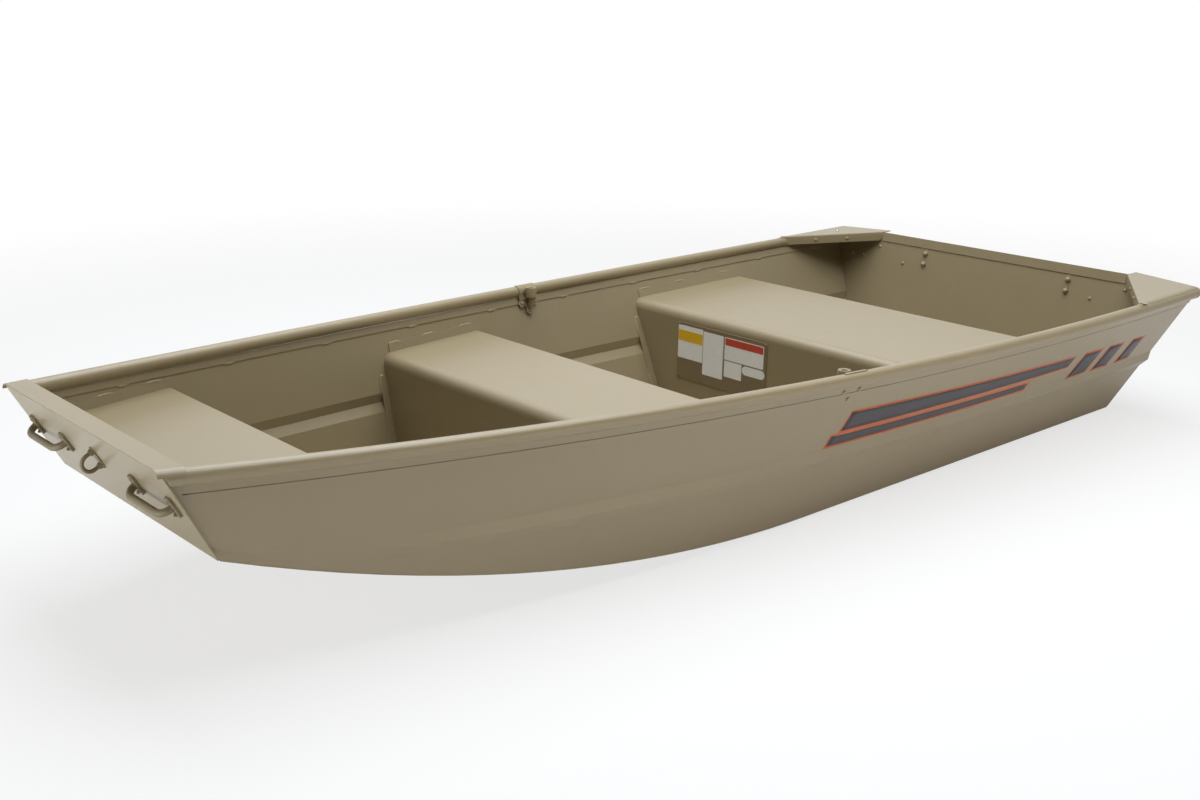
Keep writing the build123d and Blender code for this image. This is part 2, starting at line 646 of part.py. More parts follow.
def corner_bracket():
    # Triangular knee on the gunwale tube and the transom, with a lip along its long edge
    rear_x = transom_x(TRANSOM_HEIGHT)
    front_x = rear_x - TRANSOM_THICKNESS * cos(radians(TRANSOM_RAKE))
    front_z = TRANSOM_HEIGHT + TRANSOM_THICKNESS * sin(radians(TRANSOM_RAKE))
    side_x = front_x - BRACKET_ALONG_SIDE
    side_y, side_z = gunwale(side_x)
    corner_y, corner_z = gunwale(rear_x)
    rest = BEAD_RADIUS + GAP
    on_transom = Vector(front_x, BRACKET_START, front_z + GAP)
    on_side = Vector(side_x, side_y, side_z + rest)
    on_corner = Vector(rear_x - BEAD_RADIUS, corner_y, corner_z + rest)
    across = (on_side - on_transom).normalized()
    normal = (on_corner - on_transom).cross(across).normalized()
    if normal.Z < 0:
        normal = normal * -1
    plane = Plane(origin=on_transom, x_dir=across, z_dir=normal)
    rear = on_transom + Vector(rear_x - front_x, 0, 0)
    flat = [plane.to_local_coords(p) for p in (on_transom, on_side, on_corner, rear)]
    outline = Polyline(*[(p.X, p.Y) for p in flat], close=True)
    plate = extrude(make_face(outline), amount=BRACKET_SHEET)
    lip_start = BRACKET_LIP
    lip_end = (on_side - on_transom).length * (1 - BRACKET_LIP / BRACKET_ALONG_TRANSOM)
    lip_length = lip_end - lip_start
    inboard = -1 if flat[2].Y > 0 else 1
    lip = Box(lip_length, BRACKET_SHEET, BRACKET_LIP + BRACKET_SHEET)
    middle = ((lip_start + lip_end) / 2, inboard * BRACKET_SHEET / 2, (BRACKET_SHEET - BRACKET_LIP) / 2)
    return plane * (plate + Pos(*middle) * lip)


def drain_tube():
    outer = DRAIN_BORE / 2 + DRAIN_WALL
    length = TRANSOM_THICKNESS + 2 * (GAP + DRAIN_WALL)
    tube = Cylinder(outer, length)
    flange = Cylinder(DRAIN_FLANGE, DRAIN_WALL)
    for end in (-1, 1):
        tube = tube + Pos(0, 0, end * (length - DRAIN_WALL) / 2) * flange
    tube = tube - Cylinder(DRAIN_BORE / 2, 2 * length)
    return transom_frame(DRAIN_HEIGHT) * Pos(0, 0, -TRANSOM_THICKNESS / 2) * tube


def oarlock_socket():
    # Lobed plate against the gunwale's inner lip, joined by a neck to an upright bored boss
    top_y, top_z = gunwale(OARLOCK_AT)
    bolt_z = top_z - BEAD_RADIUS - OARLOCK_LOBE
    beside = panel(OARLOCK_AT, bolt_z)
    heading = Vector(1, panel(OARLOCK_AT + 1, bolt_z) - beside, 0)
    lean = Vector(0, panel(OARLOCK_AT, bolt_z + 1) - beside, 1)
    inward = heading.cross(lean).normalized()
    stand = (SHEET + LIP_THICKNESS + LIP_GAP + GAP) / abs(inward.Y)
    face = Plane(origin=(OARLOCK_AT, beside - stand, bolt_z), x_dir=heading, z_dir=inward)
    reach = OARLOCK_BOLT_SPREAD / 2
    drop = 1 if face.y_dir.Z < 0 else -1
    lobes = Sketch() + [
        Pos(x, drop * y) * Circle(OARLOCK_LOBE) for x, y in ((-reach, 0), (reach, 0), (0, reach * 1.15))
    ]
    plate = extrude(face * make_hull(lobes.edges()), amount=OARLOCK_PLATE_THICKNESS)
    boss_y = top_y - BEAD_RADIUS - GAP - OARLOCK_BOSS / 2
    middle = OARLOCK_TOP - OARLOCK_BOSS_HEIGHT / 2
    boss = Pos(OARLOCK_AT, boss_y, middle) * Cylinder(OARLOCK_BOSS / 2, OARLOCK_BOSS_HEIGHT)
    to_boss = (Vector(OARLOCK_AT, boss_y, bolt_z) - face.origin).dot(inward)
    neck = extrude(face * Rectangle(OARLOCK_NECK, 2 * OARLOCK_LOBE - 2 * GAP), amount=to_boss)
    foot = Plane.XY.offset(OARLOCK_TOP - OARLOCK_BOSS_HEIGHT)
    neck = split(neck, bisect_by=foot, keep=Keep.TOP)
    bore = Pos(OARLOCK_AT, boss_y, middle) * Cylinder(OARLOCK_BORE / 2, OARLOCK_BOSS_HEIGHT)
    return plate + neck + boss - bore


def floor_rib(station, room):
    # Hat-section rib across the floor, square to the bottom sheet under it
    low = chine(station)[1]
    pitch = atan2(max(ROCKER_STARTS_AT - station, 0.0), ROCKER_RADIUS - low)
    half_top = RIB_WIDTH / 2
    half_base = RIB_BASE / 2
    floor = SHEET + GAP
    outline = [
        (-half_base, floor),
        (-half_top - SHEET, floor),
        (-half_top - SHEET, floor + RIB_HEIGHT),
        (half_top + SHEET, floor + RIB_HEIGHT),
        (half_top + SHEET, floor),
        (half_base, floor),
        (half_base, floor + SHEET),
        (half_top + 2 * SHEET, floor + SHEET),
        (half_top + 2 * SHEET, floor + RIB_HEIGHT + SHEET),
        (-half_top - 2 * SHEET, floor + RIB_HEIGHT + SHEET),
        (-half_top - 2 * SHEET, floor + SHEET),
        (-half_base, floor + SHEET),
    ]
    plane = Plane(origin=(station, 0, low), x_dir=(cos(pitch), 0, -sin(pitch)), z_dir=(0, -1, 0))
    rib = extrude(plane * make_face(Polyline(*outline, close=True)), amount=GUNWALE_HALF_BEAM, both=True)
    return rib & room


build_room = cavity(GAP)
build_skin = build_room - cavity(GAP + SEAT_SHEET)

pieces = {}
pieces["hull_bottom"] = bottom()
starboard = side()
pieces["side_starboard"] = starboard
pieces["side_port"] = mirrored(starboard)
tube = gunwale_tube()
pieces["gunwale_starboard"] = tube
pieces["gunwale_port"] = mirrored(tube)
channel = gunwale_channel()
pieces["gunwale_channel_starboard"] = channel
pieces["gunwale_channel_port"] = mirrored(channel)
pieces["bow_plate"] = bow_plate()
pieces["bow_cap"] = bow_cap()
pieces["bow_seat"] = bow_bench(build_room, build_skin)
pieces["mid_seat"] = bench(MID_SEAT_FRONT, MID_SEAT_REAR, MID_SEAT_HEIGHT, build_room, build_skin)
pieces["rear_seat"] = bench(REAR_SEAT_FRONT, REAR_SEAT_REAR, REAR_SEAT_HEIGHT, build_room, build_skin)
pieces["keel_center"] = keel(0)
pieces["keel_starboard"] = keel(KEEL_SPACING)
pieces["keel_port"] = keel(-KEEL_SPACING)
handle = bow_frame(HANDLE_DOWN) * bow_handle()
pieces["bow_handle_starboard"] = handle.translate((0, HANDLE_OFFSET, 0))
pieces["bow_handle_port"] = handle.translate((0, -HANDLE_OFFSET, 0))
pieces["bow_eye"] = bow_frame(BOW_EYE_DOWN) * eye(0)
holes = transom_holes()
pieces["transom_outer"] = transom_sheet(0.0, SHEET) - holes
pieces["transom_inner"] = transom_sheet(TRANSOM_THICKNESS - SHEET, TRANSOM_THICKNESS) - holes
pieces["transom_cap"] = transom_cap()
bracket = corner_bracket()
pieces["corner_bracket_starboard"] = bracket
pieces["corner_bracket_port"] = mirrored(bracket)
pieces["drain_tube"] = drain_tube()
stern_eye = transom_frame(STERN_EYE_HEIGHT) * eye(TRANSOM_THICKNESS + EYE_LEG_INSIDE)
pieces["stern_eye_starboard"] = stern_eye.translate((0, STERN_EYE_OFFSET, 0))
pieces["stern_eye_port"] = stern_eye.translate((0, -STERN_EYE_OFFSET, 0))
socket = oarlock_socket()
pieces["oarlock_socket_starboard"] = socket
pieces["oarlock_socket_port"] = mirrored(socket)
for index, station in enumerate(RIB_STATIONS, start=1):
    pieces[f"floor_rib_{index}"] = floor_rib(station, build_room)

overall = Compound(list(pieces.values())).bounding_box()
to_origin = (-overall.center().X, 0, -overall.min.Z)

os.makedirs("parts", exist_ok=True)
for name, shape in pieces.items():
    export_step(shape.translate(to_origin), f"parts/{name}.step")
    print(name, round(shape.volume), len(shape.solids()), shape.is_valid)
print("origin moved by", [round(shift, 3) for shift in to_origin])
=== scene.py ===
"""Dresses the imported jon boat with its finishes, small fittings, films and a plain studio.

Lengths are metres in the part's own frame: -X is the bow, +Y is starboard and +Z is up.
"""

from __future__ import annotations

import json
import logging
import math
import random
from collections.abc import Callable, Sequence
from dataclasses import dataclass, field
from enum import Enum
from functools import partial

import bmesh
import bpy
from mathutils import Matrix, Vector
from mathutils.bvhtree import BVHTree

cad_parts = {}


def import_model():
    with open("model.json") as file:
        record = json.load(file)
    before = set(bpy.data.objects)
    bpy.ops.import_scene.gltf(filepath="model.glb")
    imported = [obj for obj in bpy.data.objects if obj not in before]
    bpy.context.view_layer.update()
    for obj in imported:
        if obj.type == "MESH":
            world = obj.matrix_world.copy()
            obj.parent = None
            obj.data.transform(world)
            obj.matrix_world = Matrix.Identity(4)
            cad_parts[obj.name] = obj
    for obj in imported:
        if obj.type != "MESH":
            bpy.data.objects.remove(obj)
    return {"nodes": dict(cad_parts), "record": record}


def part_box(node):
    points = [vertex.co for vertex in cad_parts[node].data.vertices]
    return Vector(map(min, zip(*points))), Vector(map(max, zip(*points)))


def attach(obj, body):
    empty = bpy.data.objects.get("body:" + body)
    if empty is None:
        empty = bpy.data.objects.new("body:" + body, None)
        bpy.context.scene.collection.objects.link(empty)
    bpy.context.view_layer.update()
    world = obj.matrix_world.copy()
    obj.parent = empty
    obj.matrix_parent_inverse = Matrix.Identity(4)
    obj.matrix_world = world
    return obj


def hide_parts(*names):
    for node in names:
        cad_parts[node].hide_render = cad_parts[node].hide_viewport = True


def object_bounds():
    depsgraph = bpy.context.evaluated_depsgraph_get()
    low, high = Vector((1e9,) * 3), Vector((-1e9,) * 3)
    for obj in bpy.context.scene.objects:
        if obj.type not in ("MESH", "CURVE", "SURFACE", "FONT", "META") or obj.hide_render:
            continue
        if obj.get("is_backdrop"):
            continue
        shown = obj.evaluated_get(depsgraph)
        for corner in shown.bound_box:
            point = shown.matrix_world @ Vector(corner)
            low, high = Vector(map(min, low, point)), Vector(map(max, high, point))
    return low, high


LOG = logging.getLogger("jon_boat")
BODY = "root"
SEED = 41
UP = Vector((0, 0, 1))
Pair = tuple[float, float]
Triple = tuple[float, float, float]
Color = Triple
Spot = tuple[Vector, Vector]


class Slot(Enum):
    """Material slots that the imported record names."""

    HULL = "hull_paint"
    FITTING = "fitting_paint"
    BARE = "bare_aluminium"


class Hand(Enum):
    """Which side of the boat a piece is on, as the sign of its y."""

    STARBOARD = 1
    PORT = -1

    @property
    def word(self) -> str:
        """The side's name as it stands in piece names."""
        return self.name.lower()


def linear(red: int, green: int, blue: int) -> Color:
    """Turns a display colour into the linear colour that shaders take.

    Args:
        red: Red from 0 to 255.
        green: Green from 0 to 255.
        blue: Blue from 0 to 255.

    Returns:
        The linear red, green and blue from 0 to 1.
    """

    def one(value: int) -> float:
        """Undoes the display curve of one channel."""
        share = value / 255
        return share / 12.92 if share <= 0.04045 else ((share + 0.055) / 1.055) ** 2.4

    return one(red), one(green), one(blue)


def shade(color: Color, factor: float) -> Color:
    """Returns the colour scaled by a factor and kept under white."""
    return tuple(min(channel * factor, 1.0) for channel in color)


class Signal:
    """An output socket whose values take part in Python arithmetic."""

    def __init__(self, tree: ShaderTree, socket: bpy.types.NodeSocket) -> None:
        """Keeps the tree that new Math nodes go to, and the socket."""
        self.tree = tree
        self.socket = socket

    def _math(self, operation: str, first: Signal | float, second: Signal | float) -> Signal:
        """Adds a Math node that works on two values."""
        return self.tree.add("ShaderNodeMath", {"operation": operation}, {0: first, 1: second})

    def __add__(self, other: Signal | float) -> Signal:
        """Sum with a value on the right."""
        return self._math("ADD", self, other)

    def __radd__(self, other: float) -> Signal:
        """Sum with a number on the left."""
        return self._math("ADD", other, self)

    def __sub__(self, other: Signal | float) -> Signal:
        """Difference from a value on the right."""
        return self._math("SUBTRACT", self, other)

    def __rsub__(self, other: float) -> Signal:
        """Difference of a number on the left."""
        return self._math("SUBTRACT", other, self)

    def __mul__(self, other: Signal | float) -> Signal:
        """Product with a value on the right."""
        return self._math("MULTIPLY", self, other)

    def __rmul__(self, other: float) -> Signal:
        """Product with a number on the left."""
        return self._math("MULTIPLY", other, self)

    def __pow__(self, power: float) -> Signal:
        """Value raised to a power."""
        return self._math("POWER", self, power)


class ShaderTree:
    """The nodes of one material or of the world, with short ways to add and link them."""

    def __init__(self, owner: bpy.types.Material | bpy.types.World) -> None:
        """Empties the nodes of a material or world."""
        self.owner = owner
        owner.use_nodes = True
        self.nodes = owner.node_tree.nodes
        self.links = owner.node_tree.links
        self.nodes.clear()

    @classmethod
    def for_material(cls, name: str) -> ShaderTree:
        """Makes an empty node material of that name."""
        return cls(bpy.data.materials.new(name))

    def add(
        self,
        kind: str,
        settings: dict[str, object] | None = None,
        inputs: dict[str | int, object] | None = None,
        output: str | int = 0,
    ) -> Signal:
        """Adds one node.

        Args:
            kind: Blender's type name of the node.
            settings: Properties of the node, and "stops" for a ramp, set before the inputs.
            inputs: Values or signals of its sockets, by name or place.
            output: Name or place of the output that is wanted.

        Returns:
            The wanted output.
        """
        node = self.nodes.new(kind)
        for name, value in (settings or {}).items():
            if name == "stops":
                self._stops(node.color_ramp, value)
            else:
                setattr(node, name, value)
        for name, value in (inputs or {}).items():
            if isinstance(value, Signal):
                self.links.new(value.socket, node.inputs[name])
            elif isinstance(value, tuple) and len(value) == 3 and node.inputs[name].type == "RGBA":
                node.inputs[name].default_value = (*value, 1.0)
            else:
                node.inputs[name].default_value = value
        return Signal(self, node.outputs[output])

    @staticmethod
    def _stops(ramp: bpy.types.ColorRamp, stops: Sequence[Pair]) -> None:
        """Sets a ramp's two end stops to grey levels."""
        for element, (place, level) in zip(ramp.elements, stops):
            element.position = place
            element.color = (level, level, level, 1.0)

    def mix(self, factor: Signal | float, low: Signal | Color, high: Signal | Color) -> Signal:
        """Mixes two colours.

        Args:
            factor: Share of the second colour.
            low: Colour at zero.
            high: Colour at one.

        Returns:
            The mixed colour.
        """
        settings = {"data_type": "RGBA", "clamp_factor": True}
        return self.add("ShaderNodeMix", settings, {0: factor, 6: low, 7: high}, output=2)

    def vector(self, operation: str, first: object, second: object, output: str = "Vector") -> Signal:
        """Adds a Vector Math node on two vectors."""
        return self.add("ShaderNodeVectorMath", {"operation": operation}, {0: first, 1: second}, output)

    def place(self) -> Signal:
        """Object coordinates, which are the part's own frame in metres."""
        return self.add("ShaderNodeTexCoord", output="Object")

    def noise(self, place: Signal, scale: float, detail: float = 2.0, roughness: float = 0.5) -> Signal:
        """Smooth noise from about 0 to 1.

        Args:
            place: Coordinates that it varies over.
            scale: Waves to the metre.
            detail: Number of finer layers.
            roughness: Strength of the finer layers.

        Returns:
            The noise value.
        """
        inputs = {"Vector": place, "Scale": scale, "Detail": detail, "Roughness": roughness}
        return self.add("ShaderNodeTexNoise", inputs=inputs, output=0)

    def ramp(self, value: Signal, low: float, high: float) -> Signal:
        """Value that rises from 0 at low to 1 at high."""
        inputs = {"Value": value, "From Min": low, "From Max": high}
        return self.add("ShaderNodeMapRange", {"interpolation_type": "SMOOTHSTEP"}, inputs)

    def bump(self, height: Signal, distance: float, normal: Signal | None = None) -> Signal:
        """Adds a Bump node.

        Args:
            height: Height from 0 to 1.
            distance: Depth in metres at height 1.
            normal: Normal that it starts from.

        Returns:
            The bumped normal.
        """
        inputs: dict[str | int, object] = {"Height": height, "Distance": distance}
        if normal is not None:
            inputs["Normal"] = normal
        return self.add("ShaderNodeBump", inputs=inputs)

    def seen_by(self, ray: str) -> Signal:
        """One for rays of that kind and zero for others."""
        return self.add("ShaderNodeLightPath", output=f"Is {ray} Ray")

    def principled(
        self,
        color: Signal,
        roughness: Signal,
        normal: Signal,
        more: dict[str | int, object] | None = None,
    ) -> bpy.types.Material:
        """Closes a material with its Principled shader.

        Args:
            color: Base colour.
            roughness: Roughness.
            normal: Bumped normal.
            more: Constants of its other sockets.

        Returns:
            The finished material.
        """
        inputs = {"Base Color": color, "Roughness": roughness, "Normal": normal} | (more or {})
        return self.surface(self.add("ShaderNodeBsdfPrincipled", inputs=inputs))

    def surface(self, shader: Signal) -> bpy.types.Material | bpy.types.World:
        """Links a shader to the output and returns the material or world."""
        kind = "World" if isinstance(self.owner, bpy.types.World) else "Material"
        end = self.nodes.new(f"ShaderNodeOutput{kind}")
        self.links.new(shader.socket, end.inputs["Surface"])
        return self.owner


@dataclass(frozen=True)
class SatinPaint:
    """Satin paint on sheet metal, with faint streaks and edges lightened, partly as paint wear and partly
    as a painted highlight.
    """

    name: str
    color: Color
    roughness: float = 0.46
    shades: Pair = (0.93, 1.07)
    rubbed: float = 1.16
    streak: float = 0.07
    mottle: float = 0.10
    grain: float = 0.00006
    ripple: float = 0.0009
    edge: float = 0.0009
    wear_and_highlight_strength: float = 0.55
    wear_and_highlight_span: Pair = (0.015, 0.30)
    streak_waves: Triple = (70.0, 70.0, 2.5)
    cloud_waves: float = 2.3
    patch_waves: float = 19.0
    grain_waves: float = 820.0
    ripple_waves: float = 5.5
    gloss: float = 0.60
    gloss_roughness: float = 0.36

    def material(self) -> bpy.types.Material:
        """Builds the paint.

        Returns:
            The finished material.
        """
        tree = ShaderTree.for_material(self.name)
        place = tree.place()
        streaks = tree.noise(tree.vector("MULTIPLY", place, self.streak_waves), 1.0, 3.0, 0.6)
        clouds = tree.noise(place, self.cloud_waves, 3.0)
        patches = tree.noise(place, self.patch_waves, 4.0, 0.6)
        fine = tree.noise(place, self.grain_waves, 1.0)
        rounded = tree.add("ShaderNodeBevel", {"samples": 4}, {"Radius": self.edge})
        flat = tree.add("ShaderNodeNewGeometry", output="Normal")
        turn = 1.0 - tree.vector("DOT_PRODUCT", rounded, flat, output="Value")
        # Lighter edges: partly paint wear, partly a painted highlight along bends and rims.
        wear_and_highlight = tree.ramp(turn * (0.55 + 0.9 * patches), *self.wear_and_highlight_span)
        tone = 0.5 + self.mottle * (clouds - 0.5) * 4.0 + self.streak * (streaks - 0.5) * 6.0
        tone = tone + (patches - 0.5) * 0.35
        body = tree.mix(tone, *(shade(self.color, factor) for factor in self.shades))
        color = tree.mix(wear_and_highlight * self.wear_and_highlight_strength, body, shade(self.color, self.rubbed))
        rough = self.roughness + 0.16 * (patches - 0.5) + 0.10 * (streaks - 0.5) + 0.05 * (fine - 0.5)
        soft = tree.bump(tree.noise(place, self.ripple_waves, 1.0), self.ripple, rounded)
        normal = tree.bump(fine, self.grain, soft)
        coat = {"Coat Weight": self.gloss, "Coat Roughness": self.gloss_roughness}
        return tree.principled(color, rough, normal, coat)


@dataclass(frozen=True)
class CastPaint:
    """Thick paint over cast and bent fittings, rough in the hollows."""

    name: str
    color: Color
    roughness: float = 0.5
    shades: Pair = (0.78, 1.22)
    patch_waves: float = 60.0
    pit_waves: float = 420.0
    pits: float = 0.00025

    def material(self) -> bpy.types.Material:
        """Builds the paint.

        Returns:
            The finished material.
        """
        tree = ShaderTree.for_material(self.name)
        place = tree.place()
        patches = tree.noise(place, self.patch_waves, 4.0, 0.6)
        lumps = tree.noise(place, self.pit_waves, 3.0, 0.6)
        color = tree.mix(patches * 1.4 - 0.2, *(shade(self.color, factor) for factor in self.shades))
        rough = self.roughness + 0.25 * (patches - 0.5)
        return tree.principled(color, rough, tree.bump(lumps, self.pits))


@dataclass(frozen=True)
class BareMetal:
    """Spun bare aluminium with fine turning marks and dull patches."""

    name: str
    color: Color
    roughness: float = 0.34
    dulled: float = 0.72
    mark_waves: Triple = (90.0, 900.0, 900.0)
    mark_depth: float = 0.00003
    dull_waves: float = 45.0

    def material(self) -> bpy.types.Material:
        """Builds the metal.

        Returns:
            The finished material.
        """
        tree = ShaderTree.for_material(self.name)
        place = tree.place()
        marks = tree.noise(tree.vector("MULTIPLY", place, self.mark_waves), 1.0, 2.0)
        dull = tree.noise(place, self.dull_waves, 4.0, 0.6)
        color = tree.mix(dull, shade(self.color, self.dulled), self.color)
        rough = self.roughness + 0.22 * (dull - 0.4)
        return tree.principled(color, rough, tree.bump(marks, self.mark_depth), {"Metallic": 1.0})


@dataclass(frozen=True)
class Film:
    """Printed vinyl film that lies on paint, with slight lifts and scuffs."""

    name: str
    color: Color
    roughness: float = 0.38
    shades: Pair = (0.90, 1.05)
    speck: float = 0.72
    speck_strength: float = 0.25
    speck_span: Pair = (0.60, 0.72)
    scuff_waves: float = 70.0
    speck_waves: float = 330.0
    lift_waves: float = 38.0
    lift: float = 0.00012

    def material(self) -> bpy.types.Material:
        """Builds the film.

        Returns:
            The finished material.
        """
        tree = ShaderTree.for_material(self.name)
        place = tree.place()
        scuffs = tree.noise(place, self.scuff_waves, 5.0, 0.7)
        wrinkles = tree.noise(place, self.lift_waves, 2.0)
        specks = tree.ramp(tree.noise(place, self.speck_waves, 2.0), *self.speck_span)
        worn = tree.mix(scuffs, *(shade(self.color, factor) for factor in self.shades))
        color = tree.mix(specks * self.speck_strength, worn, shade(self.color, self.speck))
        rough = self.roughness + 0.2 * (scuffs - 0.5)
        return tree.principled(color, rough, tree.bump(wrinkles, self.lift))


@dataclass(frozen=True)
class PaleFloor:
    """Pale studio floor that looks white in the open and keeps the object's shadow."""

    name: str
    color: Color
    glow: float
    speckle: float = 0.985
    speckle_waves: float = 30.0
    fades_from: float = 1.6
    fades_to: float = 4.5
    in_gloss: float = 0.25

    def material(self) -> bpy.types.Material:
        """Builds the floor.

        Returns:
            The finished material.
        """
        tree = ShaderTree.for_material(self.name)
        speckles = tree.noise(tree.place(), self.speckle_waves, 3.0)
        color = tree.mix(speckles, shade(self.color, self.speckle), self.color)
        inputs = {"Base Color": color, "Roughness": 0.8, "Specular IOR Level": 0.2}
        plain = tree.add("ShaderNodeBsdfPrincipled", inputs=inputs)
        white = tree.add("ShaderNodeEmission", inputs={"Color": (1.0, 1.0, 1.0), "Strength": 1.0})
        seen = tree.seen_by("Camera") + tree.seen_by("Glossy") * self.in_gloss
        away = tree.vector("LENGTH", tree.place(), (0.0, 0.0, 0.0), output="Value")
        open_floor = tree.ramp(away, self.fades_from, self.fades_to)
        share = self.glow + (1.0 - self.glow) * open_floor
        return tree.surface(tree.add("ShaderNodeMixShader", inputs={0: seen * share, 1: plain, 2: white}))


class Palette:
    """Every finish of the boat, made once and handed to the pieces that wear it."""

    def __init__(self) -> None:
        """Builds the materials."""
        hull = linear(150, 135, 103)
        self.hull = SatinPaint("hull_satin_paint", hull).material()
        # The welds are painted lighter than the hull as a painted highlight on the beads.
        self.bead = SatinPaint("highlit_weld_paint", shade(hull, 1.12), roughness=0.40, edge=0.0005).material()
        self.fitting = CastPaint("fitting_satin_paint", linear(132, 119, 90)).material()
        self.casting = CastPaint("socket_satin_paint", shade(hull, 0.97), pits=0.00012).material()
        self.bare = BareMetal("spun_aluminium", linear(205, 205, 203)).material()
        # Painted shadow: a darker hull colour for the strip under each gunwale lip.
        self.lip_shadow = SatinPaint("lip_shadow_paint", shade(hull, 0.62), roughness=0.7, gloss=0.0).material()
        self.plate = SatinPaint("label_plate_paint", linear(128, 112, 84), roughness=0.55).material()
        self.stripe = Film("stripe_charcoal", linear(62, 60, 66)).material()
        self.edging = Film("stripe_orange", linear(226, 108, 52)).material()
        self.paper = Film("label_white", linear(247, 247, 244)).material()
        self.yellow = Film("label_yellow", linear(236, 188, 36)).material()
        self.red = Film("label_red", linear(206, 78, 56)).material()


@dataclass(frozen=True)
class HullLines:
    """The gunwale and chine curves that the sheets follow, stations measured from the bow tip."""

    bow_x: float
    floor_z: float
    transom_top: Vector
    half_beam: float = 0.605
    half_beam_at_bow: float = 0.318
    widest_at: float = 2.6
    height: float = 0.358
    height_at_bow: float = 0.428
    chine_half_width: float = 0.427
    chine_half_width_at_bow: float = 0.322
    rocker_starts_at: float = 1.558
    bow_foot_at: float = 0.109
    bow_foot_height: float = 0.254
    tube_radius: float = 0.0155

    @staticmethod
    def _radius(distance: float, drop: float) -> float:
        """Radius of the arc that drops that far over a distance."""
        return (distance**2 + drop**2) / (2 * drop)

    @staticmethod
    def _drop(distance: float, radius: float) -> float:
        """How far an arc has dropped at a distance."""
        return radius - math.sqrt(radius**2 - distance**2)

    def gunwale(self, x: float) -> Pair:
        """Centre of the gunwale tube.

        Args:
            x: Place along the boat.

        Returns:
            Its distance from the centreline and its height.
        """
        narrowing = self.half_beam - self.half_beam_at_bow
        sheer = self.height_at_bow - self.height
        slope = math.hypot(narrowing, sheer)
        drop = self._drop(x - self.bow_x - self.widest_at, self._radius(self.widest_at, slope))
        return self.half_beam - drop * narrowing / slope, self.floor_z + self.height + drop * sheer / slope

    def tube(self, hand: Hand, x: float) -> Vector:
        """Centre of the gunwale tube of one side."""
        y, z = self.gunwale(x)
        return Vector((x, hand.value * y, z))

    def chine(self, x: float) -> Pair:
        """Outer edge of the bottom.

        Args:
            x: Place along the boat.

        Returns:
            Its distance from the centreline and its height.
        """
        forward = max(self.bow_x + self.rocker_starts_at - x, 0.0)
        length = self.rocker_starts_at - self.bow_foot_at
        narrowing = self._radius(length, self.chine_half_width - self.chine_half_width_at_bow)
        rocker = self._radius(length, self.bow_foot_height)
        half = self.chine_half_width - self._drop(forward, narrowing)
        return half, self.floor_z + self._drop(forward, rocker)


class Skin:
    """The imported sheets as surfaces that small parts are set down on."""

    nudge = Vector((0.00002, 0.00003, 0.00002))
    clear = 1.2

    def __init__(self, nodes: dict[str, bpy.types.Object]) -> None:
        """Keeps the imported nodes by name."""
        self.nodes = nodes
        self.trees: dict[str, BVHTree] = {}

    def hit(self, node: str, start: Vector, heading: Vector) -> Spot:
        """Finds where a straight line first meets a node.

        Args:
            node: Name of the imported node.
            start: Point that the line starts from.
            heading: Direction that it runs in.

        Returns:
            The point that it meets, and the surface's normal turned back along the line.
        """
        start = start + self.nudge
        if node not in self.trees:
            mesh = self.nodes[node].data
            corners = [vertex.co.copy() for vertex in mesh.vertices]
            faces = [tuple(polygon.vertices) for polygon in mesh.polygons]
            self.trees[node] = BVHTree.FromPolygons(corners, faces)
        point, normal, _, _ = self.trees[node].ray_cast(start, heading.normalized())
        if point is None:
            raise ValueError(f"no surface of {node} from {tuple(start)}")
        if normal.dot(heading) > 0:
            normal = -normal
        return point, normal

    def inner(self, hand: Hand, x: float, z: float) -> Spot:
        """Point and normal on the inner face of a side sheet."""
        return self.hit(f"side_{hand.word}", Vector((x, 0, z)), Vector((0, hand.value, 0)))

    def outer(self, sheet: str, hand: Hand, x: float, z: float) -> Spot:
        """Point and normal on the outer face of a sheet that both sides have."""
        start = Vector((x, hand.value * self.clear, z))
        return self.hit(f"{sheet}_{hand.word}", start, Vector((0, -hand.value, 0)))


def seat(point: Vector, normal: Vector, up: Vector) -> Matrix:
    """Frame of a part that stands on a surface.

    Args:
        point: Where it stands.
        normal: Direction away from the surface, which becomes its z.
        up: Direction that its y leans towards.

    Returns:
        The matrix from the part's own frame to the boat's.
    """
    z = normal.normalized()
    y = (up - z * up.dot(z)).normalized()
    x = y.cross(z)
    matrix = Matrix((x, y, z)).transposed().to_4x4()
    matrix.translation = point
    return matrix


def shifted(place: Matrix, x: float, y: float, z: float) -> Matrix:
    """Frame moved along its own axes."""
    return place @ Matrix.Translation((x, y, z))


def angles(start: float, end: float, steps: int) -> list[float]:
    """Evenly spaced angles with both ends."""
    return [start + (end - start) * step / steps for step in range(steps + 1)]


def dome(radius: float, height: float, steps: int, base: float = 0.0) -> list[Pair]:
    """Profile of a round top up to just short of its peak, as radius and height pairs."""
    turns = angles(0.0, math.pi / 2, steps)[:-1]
    return [(radius * math.cos(turn), base + height * math.sin(turn)) for turn in turns]


def placed(name: str, data: bpy.types.ID) -> bpy.types.Object:
    """Makes an object of that data in the scene."""
    thing = bpy.data.objects.new(name, data)
    bpy.context.scene.collection.objects.link(thing)
    return thing


def aimed(thing: bpy.types.Object, place: Vector, heading: Vector) -> bpy.types.Object:
    """Sets a camera or lamp at a place, turns it along a heading and returns it."""
    thing.location = place
    thing.rotation_mode = "QUATERNION"
    thing.rotation_quaternion = heading.to_track_quat("-Z", "Y")
    return thing


def slot_outline(length: float, width: float, steps: int = 10) -> list[Pair]:
    """Outline with straight sides and round ends, its length along y.

    Args:
        length: Overall length.
        width: Width, which is also the diameter of the ends.
        steps: Sides of each round end.

    Returns:
        The points in order.
    """
    half = (length - width) / 2
    turns = angles(0.0, math.pi, steps)
    upper = [(width / 2 * math.cos(turn), half + width / 2 * math.sin(turn)) for turn in turns]
    return upper + [(-x, -y) for x, y in upper]


